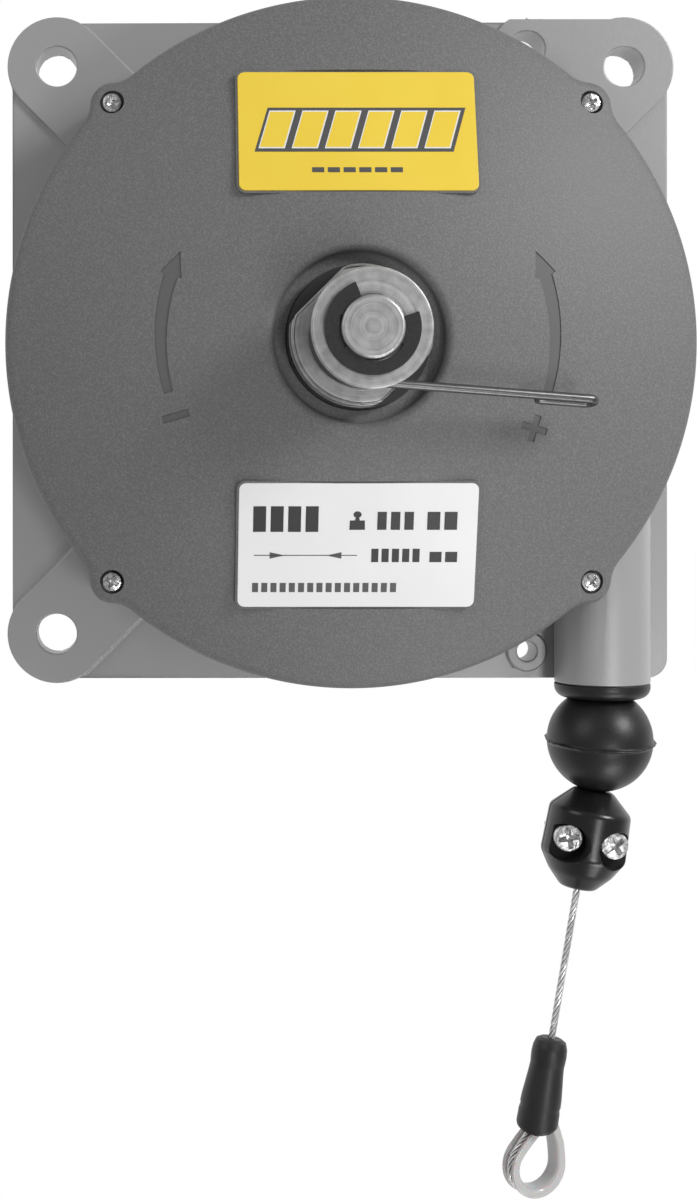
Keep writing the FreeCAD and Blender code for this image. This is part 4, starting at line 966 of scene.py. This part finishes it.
def teardrop_line(radius, top):
    """Down one limb, round the foot and up the other. The limbs touch a circle about the eye's centre, lean
    TAPER from the axis and curve in by 1.8 * t ** 2, where t is 1 at the top. Gives across and drop, and the
    outward direction's two parts."""
    touch = math.pi / 2 + TAPER
    a = np.linspace(-touch, touch, 160)
    foot_x, foot_d = radius * np.sin(a), radius * np.cos(a)
    out_x, out_d = np.sin(a), np.cos(a)
    limb = (EYE_DROP + foot_d[0] - top) / math.cos(TAPER)
    t = np.linspace(1, 0, 24)[:-1]
    left_x = foot_x[0] + t * limb * math.sin(TAPER) + 1.8 * t ** 2
    left_d = foot_d[0] - t * limb * math.cos(TAPER)
    x = np.concatenate((left_x, foot_x, -left_x[::-1]))
    d = np.concatenate((left_d, foot_d, left_d[::-1]))
    ox = np.concatenate((np.full(23, out_x[0]), out_x, np.full(23, out_x[-1])))
    od = np.concatenate((np.full(23, out_d[0]), out_d, np.full(23, out_d[-1])))
    return x, d, ox, od


nylon = Finish("nylon", subsurface_weight=0.3, subsurface_scale=0.004, transmission_weight=0.12, ior=1.5,
               coat_weight=0.2)
nylon_cloud = nylon.noise(3.0, 3.0)
nylon.set(base_color=nylon.mix(nylon_cloud, grey(196), grey(186)),
          roughness=0.28 + 0.12 * nylon_cloud, normal=nylon.bump(nylon_cloud, 0.04))


def thimble_mesh():
    """A channel section carried along the teardrop: round inside, with a groove for the rope between two
    flanges outside. A section point is (outwards from the eye's edge, towards the front)."""
    x, d, ox, od = teardrop_line(EYE_R, 116.6)
    groove = [(2.95, 3.1), (2.95, 1.9), (0.9, 1.3), (0.6, 0.0), (0.9, -1.3), (2.95, -1.9), (2.95, -3.1),
              (0.8, -3.1), (0.0, -2.2), (0.0, 2.2), (0.8, 3.1)]
    section = eased(groove, 0.55, 5, closed=True)
    across = x[:, None] + ox[:, None] * section[None, :, 0]
    drop = EYE_DROP + d[:, None] + od[:, None] * section[None, :, 0]
    front = section[None, :, 1] * np.clip(0.5 + (drop - 114.5) / 12.0, 0.5, 1)
    points = loop_end(across, front, drop)
    caps = points.mean(1, keepdims=True).repeat(points.shape[1], 1)
    return surface("nylon_thimble", np.concatenate((caps[:1], points, caps[-1:])), closed_columns=True)


piece(thimble_mesh(), nylon, "rope_tail", "nylon", "thimble")
x, d = teardrop_line(LOOP_R, 112.9)[:2]
eye_line = loop_end(x, 0 * x, EYE_DROP + d)
piece(stranded("rope_loop", eye_line, phase=0.6), wire_rope, "rope_tail", "rope_steel", "rope_eye")

alloy = metal("ferrule_alloy", 1.5, grey(190), grey(170), 0.35, 0.15, detail=2.0)
softened("crimp_ferrule", "pressed_ferrule", 0.3, alloy, "rope_tail", "ferrule_alloy")


def sleeve_shape(radius, gone, angle):
    """The sleeve's foot is a little narrower, creased, and cut askew: its edge is lower at the left."""
    foot = np.clip((gone - 104.0) / 14.0, 0, 1)
    dip = 2.6 * foot ** 3 * np.cos(angle - 2.5) + 0.2 * foot ** 3 * np.cos(3 * angle)
    crease = -0.2 * np.exp(-((gone - 111.4) / 0.5) ** 2) * (1 + 0.5 * np.sin(2 * angle))
    dent = 0.12 * foot * np.sin(3 * angle + gone / 4.0)
    return radius * (1 - 0.03 * foot) + np.where(radius > 5.3, crease, 0) + dent, gone + dip


outside = np.array([
    (1.25, 90.5), (3.0, 90.4), (4.4, 91.2), (5.05, 93.2), (5.2, 95.4), (5.12, 97.0), (4.98, 98.6),
    (5.2, 101.5), (5.55, 104.8), (5.95, 108.4), (6.1, 111.4), (6.2, 114.6), (6.25, 116.0), (6.0, 116.6)])
inside = [(5.5, 116.5), (5.2, 116.0), (5.1, 112.7), (3.95, 112.3), (3.95, 97.2), (1.25, 97.0)]
stations = np.arange(len(outside))
fine = [np.interp(np.linspace(0, stations[-1], 60), stations, outside[:, k]) for k in (0, 1)]
sleeve_rubber = rubber("sleeve_rubber", 26, 0.36, 0.5, 0.03)
sleeve_profile = np.concatenate((np.transpose(fine), inside))
sleeve = lathe("rope_sleeve", sleeve_profile, BALL, SIDE, FACE, DOWN, wave=sleeve_shape)
piece(sleeve, sleeve_rubber, "rope_tail", "black_rubber", "end_sleeve")
tuple(tail(0, 0, CLAMP_TIP - 3) * MM)


# ---------------------------------------------------------------- stage, lamps and camera
# The part hangs before a white sky, which reflections meet behind it; in front they meet a dimmer room.
# Lamps light it from the right, the left and below, and a tall narrow one draws a line on what is glossy.
# The camera stands level in front, to the left of the hub, with its frame shifted as a view camera's is.

world = bpy.data.worlds.new("sky")
bpy.context.scene.world = world
world.use_nodes = True
sky = Nodes(world.node_tree)
seen, mirrored, through = (sky.node("LightPath", output=f"Is {kind} Ray")
                           for kind in ("Camera", "Glossy", "Transmission"))
way = sky.node("SeparateXYZ", {}, {0: sky.node("TexCoord", output="Generated")}, "Y")
SKY_LIGHT = 0.42
ROOM = 0.30
background = world.node_tree.nodes["Background"]
background.inputs["Color"].default_value = (1, 1, 1, 1)
sky.feed(background.inputs["Strength"], SKY_LIGHT + (1 - SKY_LIGHT) * (seen + through)
         + mirrored * ((ROOM - SKY_LIGHT) + (1 - ROOM) * way.between(-0.3, 0.6)))


def lamp(name, place, aim, width, power, height=None):
    """A rectangular lamp at a place, in metres, that faces a point. It is square if no height is given."""
    light = bpy.data.lights.new(name, "AREA")
    light.shape = "RECTANGLE"
    light.size = width
    light.size_y = height or width
    light.energy = power
    made = bpy.data.objects.new(name, light)
    bpy.context.scene.collection.objects.link(made)
    made.location = place
    made.rotation_mode = "QUATERNION"
    made.rotation_quaternion = (Vector(aim) - Vector(place)).to_track_quat("-Z", "Y")


lamp("key", (0.76, -0.62, 0.50), (0, 0, -0.05), 0.34, 7.5)
lamp("side", (-0.9, -0.7, 0.6), (0, 0, -0.03), 0.7, 2.5)
lamp("low", (0.29, -0.36, -0.80), (0.04, 0, -0.12), 0.3, 1.6)
lamp("strip", (0.24, -0.74, -0.34), (0.07, 0, -0.15), 0.13, 1.3, 0.26)

view = bpy.data.cameras.new("view")
view.lens = 54.3
view.shift_x = 0.185
view.shift_y = -0.081
camera = bpy.data.objects.new("view", view)
bpy.context.scene.collection.objects.link(camera)
camera.location = (-0.0649, -0.5615, -0.0463)
camera.rotation_euler = (math.pi / 2, 0, 0)
bpy.context.scene.camera = camera
bpy.context.scene.view_settings.view_transform = "Standard"
